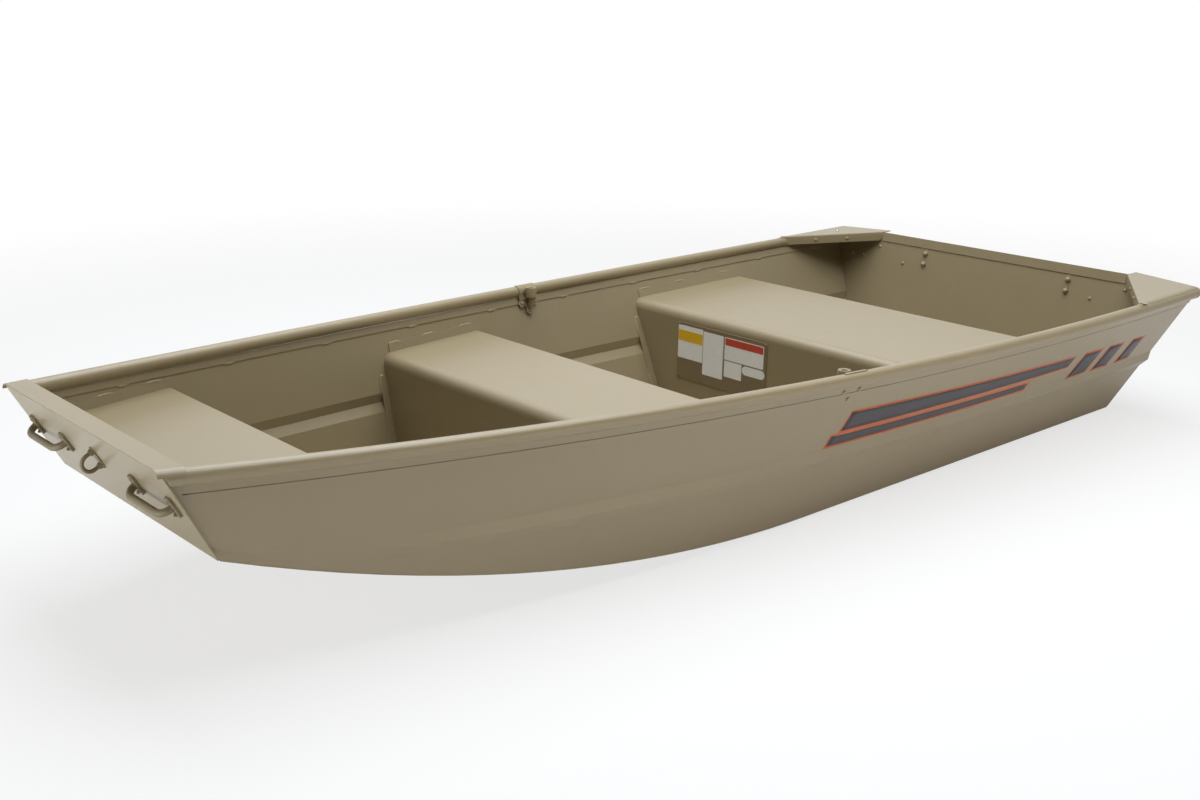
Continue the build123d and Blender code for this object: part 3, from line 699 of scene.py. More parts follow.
def lobed_outline(discs: Sequence[Triple], steps: int = 72) -> list[Pair]:
    """Outline round discs that meet at the origin, with hollows between the outer ones.

    Args:
        discs: The x, y and radius of each disc.
        steps: Points of the outline.

    Returns:
        The points in order.
    """
    points = []
    for turn in angles(0.0, 2 * math.pi, steps)[:-1]:
        reach = 0.0
        for x, y, radius in discs:
            ahead = x * math.cos(turn) + y * math.sin(turn)
            aside = x * math.sin(turn) - y * math.cos(turn)
            if abs(aside) < radius:
                reach = max(reach, ahead + math.sqrt(radius**2 - aside**2))
        points.append((reach * math.cos(turn), reach * math.sin(turn)))
    return points


def rounded_rectangle(width: float, height: float, radius: float, steps: int = 5) -> list[Pair]:
    """Outline of a rectangle with round corners.

    Args:
        width: Size along x.
        height: Size along y.
        radius: Corner radius.
        steps: Sides of each corner.

    Returns:
        The points in order.
    """
    points = []
    corners = ((1, 1), (-1, 1), (-1, -1), (1, -1))
    for quarter, (right, up) in enumerate(corners):
        for step in range(steps + 1):
            turn = math.pi / 2 * (quarter + step / steps)
            x = right * (width / 2 - radius) + radius * math.cos(turn)
            points.append((x, up * (height / 2 - radius) + radius * math.sin(turn)))
    return points


class Shaper:
    """Gathers the faces of one piece and turns them into an object."""

    bead_sunk = 0.0003
    bead_end = 0.25
    bead_ease = 3.2
    ripple_turn = 1.9
    ripple_depth = 0.16
    unevenness = 0.07

    def __init__(self) -> None:
        """Starts with an empty mesh."""
        self.mesh = bmesh.new()
        self.finish = 0

    def _ring(self, points: Sequence[Vector]) -> list[bmesh.types.BMVert]:
        """Adds the vertices of one ring."""
        return [self.mesh.verts.new(point) for point in points]

    def _face(self, corners: Sequence[bmesh.types.BMVert], smooth: bool = True) -> None:
        """Adds one face with the finish of the moment."""
        face = self.mesh.faces.new(corners)
        face.smooth = smooth
        face.material_index = self.finish

    def _skin(self, rings: Sequence[Sequence[bmesh.types.BMVert]]) -> None:
        """Joins rings with the same number of vertices by quads."""
        for low, high in zip(rings, rings[1:]):
            count = len(low)
            for index in range(count):
                after = (index + 1) % count
                self._face((low[index], low[after], high[after], high[index]))

    def _capped(self, rings: Sequence[Sequence[bmesh.types.BMVert]], smooth: bool = True) -> None:
        """Joins rings and closes both ends with a face."""
        self._skin(rings)
        self._face(rings[0][::-1], smooth)
        self._face(rings[-1], smooth)

    def lathe(
        self, place: Matrix, profile: Sequence[Pair], sides: int = 24, bored: bool = False,
    ) -> None:
        """Turns a profile round the z axis of a place.

        Args:
            place: Frame that it stands in.
            profile: Radius and height pairs, the first and last closed by a flat face.
            sides: Sides of each ring.
            bored: True if the profile's last point joins its first round a through hole.
        """
        rings = []
        turns = angles(0.0, 2 * math.pi, sides)[:-1]
        for radius, height in profile:
            ring = [Vector((radius * math.cos(turn), radius * math.sin(turn), height)) for turn in turns]
            rings.append(self._ring([place @ point for point in ring]))
        if bored:
            self._skin([*rings, rings[0]])
        else:
            self._capped(rings)

    def prism(self, place: Matrix, outline: Sequence[Pair], thickness: float, rim: float) -> None:
        """Raises an outline into a plate with an eased upper rim.

        Args:
            place: Frame that it stands in.
            outline: Convex outline round the origin, anticlockwise.
            thickness: Height of the plate.
            rim: Width of the eased rim.
        """
        levels = [(0.0, 0.0), (0.0, thickness - rim), (0.3, thickness - 0.3 * rim), (1.0, thickness)]
        rings = []
        for inset, height in levels:
            ring = []
            for x, y in outline:
                reach = math.hypot(x, y)
                share = 1 - inset * rim / reach
                ring.append(place @ Vector((x * share, y * share, height)))
            rings.append(self._ring(ring))
        self._capped(rings, smooth=False)

    def tube(self, path: Sequence[Vector], radii: Sequence[float] | float, sides: int = 20) -> None:
        """Sweeps a round section along a path.

        Args:
            path: Points of the centre line.
            radii: Radius at each point, or one for all.
            sides: Sides of the section.
        """
        if isinstance(radii, float):
            radii = [radii] * len(path)
        turns = angles(0.0, 2 * math.pi, sides)[:-1]
        rings = []
        across = None
        for index, point in enumerate(path):
            ahead = path[min(index + 1, len(path) - 1)] - path[max(index - 1, 0)]
            ahead.normalize()
            if across is None:
                across = ahead.orthogonal()
            across = (across - ahead * across.dot(ahead)).normalized()
            other = ahead.cross(across)
            ring = []
            for turn in turns:
                ring.append(point + (across * math.cos(turn) + other * math.sin(turn)) * radii[index])
            rings.append(self._ring(ring))
        self._capped(rings)

    def bead(self, path: Sequence[Spot], width: float, height: float, chance: random.Random) -> None:
        """Lays a rippled weld bead on a surface.

        Args:
            path: Surface points and normals along the bead, a few millimetres apart.
            width: Width of the bead.
            height: Height of the bead.
            chance: Source of its small unevenness.
        """
        rings = []
        last = len(path) - 1
        for index, (point, normal) in enumerate(path):
            ahead = (path[min(index + 1, last)][0] - path[max(index - 1, 0)][0]).normalized()
            aside = normal.cross(ahead).normalized()
            share = index / last
            fore, aft = (self.bead_ease * rest + self.bead_end for rest in (share, 1 - share))
            ends = min(1.0, fore, aft)
            wave = 1 - self.ripple_depth + self.ripple_depth * math.cos(index * self.ripple_turn)
            ripple = wave + chance.uniform(-self.unevenness, self.unevenness)
            ring = []
            for turn in angles(0.0, math.pi, 8):
                sideways = aside * (width / 2 * ends * ripple * math.cos(turn))
                upwards = normal * (height * ends * ripple * math.sin(turn))
                ring.append(point + sideways + upwards - normal * self.bead_sunk)
            rings.append(self._ring(ring))
        self._capped(rings)

    def sheet(self, rows: Sequence[Sequence[Spot]], under: float, over: float) -> None:
        """Lays a thin closed sheet over a grid of surface points.

        Args:
            rows: Rows of surface points and normals.
            under: Height of its lower face over the surface.
            over: Height of its upper face.
        """
        layers = []
        for offset in (under, over):
            layers.append([self._ring([point + normal * offset for point, normal in row]) for row in rows])
        low, high = layers
        for layer, turned in ((low, True), (high, False)):
            for near, far in zip(layer, layer[1:]):
                for index in range(len(near) - 1):
                    corners = [near[index], near[index + 1], far[index + 1], far[index]]
                    self._face(corners[::-1] if turned else corners)
        rims = []
        for layer in layers:
            right = [row[-1] for row in layer[1:]]
            left = [row[0] for row in layer[-2:0:-1]]
            rims.append(layer[0] + right + layer[-1][-2::-1] + left)
        self._skin(rims)

    def finished(
        self,
        name: str,
        finishes: Sequence[bpy.types.Material],
        slot: Slot,
        replaces: Sequence[str] = (),
        crease: float | None = 40.0,
    ) -> bpy.types.Object:
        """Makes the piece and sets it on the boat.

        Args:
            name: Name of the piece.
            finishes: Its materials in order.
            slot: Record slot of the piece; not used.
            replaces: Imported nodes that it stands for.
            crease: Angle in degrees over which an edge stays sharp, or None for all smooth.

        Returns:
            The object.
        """
        bmesh.ops.recalc_face_normals(self.mesh, faces=self.mesh.faces)
        if crease is not None:
            for edge in self.mesh.edges:
                if len(edge.link_faces) == 2 and edge.calc_face_angle() > math.radians(crease):
                    edge.smooth = False
        data = bpy.data.meshes.new(name)
        self.mesh.to_mesh(data)
        self.mesh.free()
        for finish in finishes:
            data.materials.append(finish)
        piece = placed(name, data)
        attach(piece, BODY)
        if replaces:
            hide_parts(*replaces)
        LOG.info("%s: %d faces", name, len(data.polygons))
        return piece


@dataclass(frozen=True)
class Fasteners:
    """Profiles of the small turned fasteners."""

    rivet_radius: float = 0.0050
    rivet_height: float = 0.0031
    washer_radius: float = 0.0085
    washer_thickness: float = 0.0016
    washer_rim: float = 0.0003
    nut_across: float = 0.013
    nut_height: float = 0.0065
    nut_turn: float = 0.35
    nut_rim: float = 0.0011
    stud_radius: float = 0.004
    stud_height: float = 0.004
    stud_ease: float = 0.0008
    cap_radius: float = 0.0082
    cap_height: float = 0.0090
    cap_skirt: float = 0.3
    cap_waist: float = 0.94
    sunk: float = 0.0004
    peak: float = 0.0004

    def rivet(self, shaper: Shaper, place: Matrix, scale: float = 1.0) -> None:
        """Adds a domed rivet head.

        Args:
            shaper: Mesh that it goes into.
            place: Frame on the surface.
            scale: Size against the usual rivet.
        """
        radius = self.rivet_radius * scale
        height = self.rivet_height * scale
        profile = [(radius, -self.sunk), *dome(radius, height, 5), (self.peak * scale, height)]
        shaper.lathe(place, profile, sides=16)

    def nut(self, shaper: Shaper, place: Matrix, washer: bool = True, scale: float = 1.0) -> None:
        """Adds a hexagon nut with its washer and the end of its stud.

        Args:
            shaper: Mesh that it goes into.
            place: Frame on the surface.
            washer: True if a washer lies under it.
            scale: Size against the usual nut.
        """
        base = 0.0
        if washer:
            edge = self.washer_radius * scale
            base = self.washer_thickness * scale
            rim = self.washer_rim
            shaper.lathe(place, [(edge, -self.sunk), (edge, base - rim), (edge - rim, base)], sides=28)
        lifted = shifted(place, 0, 0, base)
        corner = self.nut_across * scale / math.sqrt(3)
        turns = [math.pi / 3 * side + self.nut_turn for side in range(6)]
        outline = [(corner * math.cos(turn), corner * math.sin(turn)) for turn in turns]
        shaper.prism(lifted, outline, self.nut_height * scale, self.nut_rim * scale)
        top = (self.nut_height + self.stud_height) * scale
        stud = self.stud_radius * scale
        profile = [(stud, 0.0), (stud, top - self.stud_ease), (stud - self.stud_ease, top)]
        shaper.lathe(lifted, profile, sides=18)

    def cap_nut(self, shaper: Shaper, place: Matrix) -> None:
        """Adds a round domed nut.

        Args:
            shaper: Mesh that it goes into.
            place: Frame on the surface.
        """
        radius = self.cap_radius
        height = self.cap_height
        skirt = self.cap_skirt * height
        crown = dome(radius * self.cap_waist, height - skirt, 6, skirt)
        profile = [(radius, -self.sunk), (radius, skirt * 0.8), *crown, (self.peak, height)]
        shaper.lathe(place, profile, sides=20)


FASTENERS = Fasteners()


@dataclass
class DressedSheets:
    """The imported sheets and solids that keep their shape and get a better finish."""

    nodes: dict[str, bpy.types.Object]
    palette: Palette
    bare: tuple[str, ...] = ("drain_tube",)
    fittings: tuple[str, ...] = ("bow_handle", "bow_eye", "stern_eye", "oarlock_socket")

    def build(self) -> None:
        """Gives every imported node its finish."""
        for name, node in self.nodes.items():
            finish = self.palette.hull
            if name in self.bare:
                finish = self.palette.bare
            elif name.startswith(self.fittings):
                finish = self.palette.fitting
            node.data.materials.clear()
            node.data.materials.append(finish)
        LOG.info("dressed %d packed nodes", len(self.nodes))


@dataclass
class SubAssembly:
    """What every sub-assembly works with."""

    skin: Skin
    palette: Palette
    lines: HullLines


@dataclass(frozen=True)
class MooringEye:
    """Round U-bolt with its plate and the nut on each leg."""

    rod: float = 0.008
    spread: float = 0.033
    reach: float = 0.034
    plate_length: float = 0.052
    plate_width: float = 0.020
    plate_thickness: float = 0.003
    plate_rim: float = 0.0008
    nut_scale: float = 0.95
    sunk: float = 0.0005

    def legs(self, place: Matrix, height: float) -> list[Matrix]:
        """Frames round both legs at a height over a surface."""
        return [shifted(place, 0, y, height) for y in (-self.spread / 2, self.spread / 2)]

    def add(self, shaper: Shaper, place: Matrix, through: float = 0.0) -> None:
        """Adds the whole eye.

        Args:
            shaper: Mesh that it goes into.
            place: Frame on the surface, the legs apart along its y.
            through: Depth that the legs run to below the surface.
        """
        radius = self.spread / 2
        foot = -through - self.sunk
        path = [Vector((0, -radius, foot))]
        for turn in angles(0.0, math.pi, 24):
            height = self.reach - radius + radius * math.sin(turn)
            path.append(Vector((0, -radius * math.cos(turn), height)))
        path.append(Vector((0, radius, foot)))
        shaper.tube([place @ point for point in path], self.rod / 2, sides=18)
        outline = slot_outline(self.plate_length, self.plate_width, 12)
        shaper.prism(place, outline, self.plate_thickness, self.plate_rim)
        for leg in self.legs(place, self.plate_thickness):
            FASTENERS.nut(shaper, leg, washer=False, scale=self.nut_scale)


MOORING_EYE = MooringEye()


@dataclass
class BowFittings(SubAssembly):
    """Carrying handles and the mooring eye on the bow plate."""

    rod: float = 0.0142
    fillet_swells: Pair = (1.18, 1.12)
    spread: float = 0.140
    grip: float = 0.092
    reach: float = 0.027
    pad_length: float = 0.044
    pad_width: float = 0.025
    pad_thickness: float = 0.006
    pad_corner: float = 0.007
    pad_rim: float = 0.0018
    rivet_scale: float = 0.85
    bolt_from_middle: float = 0.0150
    bolt_scale: float = 0.5
    start_x: float = -2.5

    def _on_plate(self, y: float, z: float) -> Matrix:
        """Frame on the bow plate's outer face.

        Args:
            y: Place across the boat.
            z: Height that the frame's origin stands at.

        Returns:
            The frame, its y up the plate.
        """
        point, normal = self.skin.hit("bow_plate", Vector((self.start_x, y, z)), Vector((1, 0, 0)))
        return seat(point, normal, UP)

    def _pad_height(self, node: str) -> float:
        """Height of a pad's middle on the plate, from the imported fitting's lower and upper ends."""
        low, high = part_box(node)
        plate_low, plate_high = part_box("bow_plate")
        lean = math.atan2(plate_high.x - plate_low.x, plate_high.z - plate_low.z)
        half_pad = (self.pad_length if "handle" in node else MOORING_EYE.plate_length) / 2
        return high.z - half_pad * math.cos(lean)

    def _handle(self, hand: Hand) -> None:
        """Builds one handle: two riveted pads and the round grip between them."""
        node = f"bow_handle_{hand.word}"
        low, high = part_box(node)
        place = self._on_plate((low.y + high.y) / 2, self._pad_height(node))
        shaper = Shaper()
        inset = (self.spread - self.grip) / 2
        rise = self.reach - self.pad_thickness
        leg = [Vector((-self.spread / 2, 0, 0.0005))]
        for turn in angles(0.0, math.pi / 2, 14):
            x = -self.grip / 2 - inset * math.cos(turn)
            leg.append(Vector((x, 0, self.pad_thickness + rise * math.sin(turn))))
        path = leg + [Vector((-point.x, point.y, point.z)) for point in leg[::-1]]
        fillet = [self.rod / 2 * swell for swell in self.fillet_swells]
        radii = [*fillet, *[self.rod / 2] * (len(path) - 2 * len(fillet)), *fillet[::-1]]
        shaper.tube([place @ point for point in path], radii, sides=24)
        outline = rounded_rectangle(self.pad_width, self.pad_length, self.pad_corner, 7)
        for x in (-self.spread / 2, self.spread / 2):
            pad = shifted(place, x, 0, 0)
            shaper.prism(pad, outline, self.pad_thickness, self.pad_rim)
            lower = shifted(pad, 0, -self.bolt_from_middle, self.pad_thickness)
            upper = shifted(pad, 0, self.bolt_from_middle, self.pad_thickness)
            FASTENERS.nut(shaper, lower, washer=False, scale=self.bolt_scale)
            FASTENERS.rivet(shaper, upper, self.rivet_scale)
        name = f"bow_grab_handle_{hand.word}"
        shaper.finished(name, [self.palette.fitting], Slot.FITTING, [node])

    def _eye(self) -> None:
        """Builds the bow eye."""
        shaper = Shaper()
        MOORING_EYE.add(shaper, self._on_plate(0.0, self._pad_height("bow_eye")))
        shaper.finished("bow_mooring_eye", [self.palette.fitting], Slot.FITTING, ["bow_eye"])

    def build(self) -> None:
        """Builds both handles and the eye."""
        for hand in Hand:
            self._handle(hand)
        self._eye()


@dataclass
class SternFittings(SubAssembly):
    """Mooring eyes through the transom, with their inside nuts, and the transom's rivets."""

    eye_height: float = 0.316
    eye_offset: float = 0.245
    clear_of_bracket: float = 0.03
    thickness: float = 0.041
    backing: Triple = (0.060, 0.010, 0.0012)
    backing_rim: float = 0.0005
    rivets: tuple[Pair, ...] = ((0.322, 0.300), (0.420, 0.340), (0.478, 0.304), (0.523, 0.306))
    rivet_scale: float = 1.15

    def _on_transom(self, node: str, y: float, height: float, ahead: bool) -> Matrix:
        """Frame on a face of the transom.

        Args:
            node: Packed sheet that carries it.
            y: Place across the boat.
            height: Height over the bottom's outer face.
            ahead: True for the inner face, which looks towards the bow.

        Returns:
            The frame, its y up the transom.
        """
        _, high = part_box("transom_cap")
        start = Vector((high.x - 0.5 if ahead else high.x + 0.5, y, self.lines.floor_z + height))
        point, normal = self.skin.hit(node, start, Vector((1 if ahead else -1, 0, 0)))
        return seat(point, normal, UP)

    def _eye(self, hand: Hand) -> None:
        """Builds one stern eye with its plate outside and its nuts and strip inside."""
        beside = self.clear_of_bracket
        y = hand.value * self.eye_offset + beside
        outside = self._on_transom("transom_outer", y, self.eye_height, ahead=False)
        outside = shifted(outside, -math.copysign(beside, outside.col[0].y), 0, 0)
        shaper = Shaper()
        MOORING_EYE.add(shaper, outside, self.thickness)
        inside = shifted(outside, 0, 0, -self.thickness) @ Matrix.Rotation(math.pi, 4, "Y")
        length, width, thin = self.backing
        shaper.finish = 1
        shaper.prism(inside, slot_outline(length, width, 10), thin, self.backing_rim)
        for leg in MOORING_EYE.legs(inside, thin):
            FASTENERS.cap_nut(shaper, leg)
        name = f"stern_mooring_eye_{hand.word}"
        finishes = [self.palette.fitting, self.palette.hull]
        shaper.finished(name, finishes, Slot.FITTING, [f"stern_eye_{hand.word}"])

    def _rivets(self) -> None:
        """Sets the rivet heads on the transom's inner sheet."""
        shaper = Shaper()
        for hand in Hand:
            for y, height in self.rivets:
                place = self._on_transom("transom_inner", hand.value * y, height, ahead=True)
                FASTENERS.rivet(shaper, place, self.rivet_scale)
        shaper.finished("transom_rivets", [self.palette.hull], Slot.HULL)

    def build(self) -> None:
        """Builds both eyes and the rivets."""
        for hand in Hand:
            self._eye(hand)
        self._rivets()


@dataclass
class CornerKnees(SubAssembly):
    """Folded front flange, rolled outer edge and rivets of the two corner brackets."""

    transom_thickness: float = 0.041
    rake: float = math.radians(12.9)
    rest: float = 0.0003
    sheet: float = 0.0025
    along_side: float = 0.285
    starts_at: float = 0.419
    flange: float = 0.024
    flange_corner: float = 0.016
    fold: float = 0.0026
    skin_thickness: float = 0.0013
    feather: float = 0.016
    rivets_on_flange: Pair = (0.36, 0.67)
    flange_rivet_scale: float = 1.15
    rivet_on_top: float = 0.42
    top_rivet_scale: float = 1.25
    roll_from: float = math.radians(102)
    roll_to: float = math.radians(58)
    roll_ease: float = 0.014
    roll_edge: float = 0.0006

    def _corners(self, hand: Hand) -> tuple[Vector, Vector, Vector]:
        """Corners of a bracket's lower face.

        Args:
            hand: Side of the boat.

        Returns:
            The corner on the transom, the one on the gunwale ahead, and the one where both meet.
        """
        half = Vector((math.cos(self.rake), 0, -math.sin(self.rake))) * (self.transom_thickness / 2)
        front = self.lines.transom_top - half
        rear_x = (self.lines.transom_top + half).x
        over = UP * (self.lines.tube_radius + self.rest)
        on_transom = Vector((front.x, hand.value * self.starts_at, front.z + self.rest))
        on_side = self.lines.tube(hand, front.x - self.along_side) + over
        on_corner = self.lines.tube(hand, rear_x) + over
        on_corner.x -= self.lines.tube_radius
        return on_transom, on_side, on_corner

    def _flange(self, shaper: Shaper, start: Vector, end: Vector, up: Vector, inboard: Vector) -> None:
        """Folds the flange down along the bracket's long edge.

        Args:
            shaper: Mesh that it goes into.
            start: Long edge's end on the transom.
            end: Long edge's end on the gunwale.
            up: Normal of the bracket's top.
            inboard: Direction away from the bracket, in its plane.
        """
        length = (end - start).length
        steps = 40
        rows = []
        for step in range(steps + 1):
            along = length * step / steps
            edge = start.lerp(end, step / steps)
            near_end = min(along, length - along, self.flange_corner)
            short = self.flange_corner - near_end
            depth = self.flange - self.flange_corner + math.sqrt(self.flange_corner**2 - short**2)
            rise = (self.fold + self.skin_thickness) / 2
            row = [(edge - inboard * self.feather + up * self.skin_thickness, up)]
            row.append((edge - inboard * self.feather / 2 + up * rise, up))
            for turn in angles(math.pi / 2, 0.0, 5):
                outward = inboard * math.cos(turn) + up * math.sin(turn)
                row.append((edge + outward * self.fold, outward))
            row.append((edge + inboard * self.fold - up * depth / 2, inboard))
            row.append((edge + inboard * self.fold - up * depth, inboard))
            rows.append(row)
        shaper.sheet(rows, 0.0, self.skin_thickness)

    def _roll(self, shaper: Shaper, hand: Hand, fore: float, aft: float) -> None:
        """Rolls the bracket's outer edge down over the gunwale tube.

        Args:
            shaper: Mesh that it goes into.
            hand: Side of the boat.
            fore: Where the roll starts.
            aft: Where it ends.
        """
        full = self.sheet + self.rest - self.roll_edge
        inside = self.lines.tube_radius - self.skin_thickness
        rows = []
        steps = 30
        for step in range(steps + 1):
            x = fore + (aft - fore) * step / steps
            centre = self.lines.tube(hand, x)
            ease = min((x - fore) / self.roll_ease, 1.0)
            row = []
            for turn in angles(self.roll_from, self.roll_to, 8):
                heading = Vector((0, hand.value * math.cos(turn), math.sin(turn)))
                fall = min(max((math.pi / 2 - turn) / (math.pi / 2 - self.roll_to), 0.0), 1.0)
                top = self.roll_edge + full * ease * (1 - fall**1.5)
                row.append((centre + heading * (inside + top), heading))
            rows.append(row)
        shaper.sheet(rows, 0.0, self.skin_thickness)

    def build(self) -> None:
        """Builds both sides, the top rivet on the starboard bracket alone."""
        for hand in Hand:
            shaper = Shaper()
            start, end, corner = self._corners(hand)
            along = (end - start).normalized()
            up = along.cross(corner - start).normalized()
            if up.z < 0:
                up = -up
            inboard = up.cross(along)
            if inboard.dot(corner - start) > 0:
                inboard = -inboard
            self._flange(shaper, start, end, up, inboard)
            self._roll(shaper, hand, end.x - self.roll_ease, corner.x)
            face = inboard * (self.fold + self.skin_thickness) - up * (self.flange / 2)
            for share in self.rivets_on_flange:
                place = seat(start.lerp(end, share) + face, inboard, up)
                FASTENERS.rivet(shaper, place, self.flange_rivet_scale)
            if hand is Hand.STARBOARD:
                shaper.finish = 1
                middle = (start + end) / 2
                on_top = middle.lerp(corner, self.rivet_on_top) + up * self.sheet
                FASTENERS.rivet(shaper, seat(on_top, up, Vector((1, 0, 0))), self.top_rivet_scale)
            finishes = [self.palette.hull, self.palette.bare]
            shaper.finished(f"corner_knee_{hand.word}", finishes, Slot.HULL)


@dataclass
class OarlockSockets(SubAssembly):
    """Cast oarlock sockets: a three-lobed plate, a bored cup and a saddle over the gunwale tube."""

    bolt_spread: float = 0.048
    bolt_drop: float = 0.0230
    bolts_under_tube: float = 0.013
    plate_thickness: float = 0.004
    plate_rim: float = 0.0010
    centre_radius: float = 0.0165
    lobe_radius: float = 0.0118
    cup_radius: float = 0.015
    cup_height: float = 0.028
    sleeve_radius: float = 0.0088
    bore_radius: float = 0.0065
    overall_height: float = 0.050
    ease: float = 0.0012
    mouth_share: float = 0.52
    bury: float = 0.001
    lift: float = 0.0004
    web_width: float = 0.016
    web_corner: float = 0.002
    web_foot: float = 0.0345
    web_height: float = 0.024
    web_rim: float = 0.0015
    rivet_scale: float = 1.2
    saddle_width: float = 0.066
    saddle_thickness: float = 0.0021
    saddle_from: float = math.radians(78)
    saddle_to: float = math.radians(202)
    saddle_foot: float = 0.55
    saddle_proud: float = 0.0002
    start_y: float = 0.3

    def _cup(self, shaper: Shaper, top: Vector) -> None:
        """Turns the cup and the sleeve under it, with the bore right through.

        Args:
            shaper: Mesh that it goes into.
            top: Middle of the cup's rim.
        """
        ease = self.ease
        mouth = self.cup_radius * self.mouth_share
        foot = -self.overall_height
        profile = [
            (self.bore_radius, foot),
            (self.sleeve_radius - ease, foot),
            (self.sleeve_radius, foot + ease),
            (self.sleeve_radius, -self.cup_height - 2 * ease),
            (self.cup_radius - ease, -self.cup_height),
            (self.cup_radius, -self.cup_height + ease),
            (self.cup_radius, -2 * ease),
            (self.cup_radius - ease, 0.0),
            (mouth + ease, 0.0),
            (mouth, -ease / 2),
            (self.bore_radius, -2 * ease),
        ]
        shaper.lathe(Matrix.Translation(top), profile, sides=36, bored=True)

    def _saddle(self, shaper: Shaper, hand: Hand, middle: float, foot: Vector) -> None:
        """Bends the saddle over the tube and down onto the plate.

        Args:
            shaper: Mesh that it goes into.
            hand: Side of the boat.
            middle: Place along the boat.
            foot: Point on the plate's face that it reaches.
        """
        rows = []
        columns = 6
        for turn in angles(self.saddle_from, self.saddle_to, 22):
            heading = Vector((0, hand.value * math.cos(turn), math.sin(turn)))
            row = []
            for column in range(columns + 1):
                centre = self.lines.tube(hand, middle + self.saddle_width * (column / columns - 0.5))
                row.append((centre + heading * self.lines.tube_radius, heading))
            rows.append(row)
        inboard = Vector((0, -hand.value, 0))
        rows.append([(Vector((point.x, foot.y, foot.z)), inboard) for point, _ in rows[-1]])
        shaper.sheet(rows, 0.0, self.saddle_thickness)

    def _socket(self, hand: Hand) -> None:
        """Builds one socket with its bolts.

        Args:
            hand: Side of the boat.
        """
        node = f"oarlock_socket_{hand.word}"
        low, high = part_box(node)
        middle = (low.x + high.x) / 2
        level = self.lines.gunwale(middle)[1] - self.lines.tube_radius - self.bolts_under_tube
        outward = Vector((0, hand.value, 0))
        shaper = Shaper()
        spots = []
        for along in (-self.bolt_spread / 2, self.bolt_spread / 2):
            start = Vector((middle + along, hand.value * self.start_y, level))
            spots.append(self.skin.hit(node, start, outward))
        centre = (spots[0][0] + spots[1][0]) / 2
        place = seat(centre, spots[0][1], UP)
        lobes = ((-self.bolt_spread / 2, 0.0), (self.bolt_spread / 2, 0.0), (0.0, -self.bolt_drop))
        discs = [(0.0, 0.0, self.centre_radius)] + [(x, y, self.lobe_radius) for x, y in lobes]
        base = shifted(place, 0, 0, -self.plate_thickness)
        shaper.prism(base, lobed_outline(discs), self.plate_thickness + self.lift, self.plate_rim)
        cup_y = min(abs(low.y), abs(high.y)) + self.cup_radius
        self._cup(shaper, Vector((middle, hand.value * cup_y, high.z)))
        inner = cup_y + self.bore_radius + self.bury
        reach = abs(centre.y) + self.bury - inner
        web = Vector((middle, hand.value * (inner + reach / 2), low.z + self.web_foot))
        outline = rounded_rectangle(self.web_width, reach, self.web_corner)
        shaper.prism(seat(web, UP, Vector((0, 1, 0))), outline, self.web_height, self.web_rim)
        shift = Vector((0, -hand.value * self.saddle_proud, self.centre_radius * self.saddle_foot))
        self._saddle(shaper, hand, middle, centre + shift)
        for x, y in lobes:
            head = shifted(place, x, y, self.lift)
            FASTENERS.rivet(shaper, head, self.rivet_scale)
            sheet = "gunwale_channel" if y == 0.0 else "side"
            outside = self.skin.outer(sheet, hand, head.translation.x, head.translation.z)
            shaper.finish = 1
            FASTENERS.rivet(shaper, seat(*outside, UP), self.rivet_scale)
            shaper.finish = 0
        finishes = [self.palette.casting, self.palette.hull]
        shaper.finished(f"oarlock_casting_{hand.word}", finishes, Slot.FITTING, [node])

    def build(self) -> None:
        """Builds both sockets."""
        for hand in Hand:
            self._socket(hand)


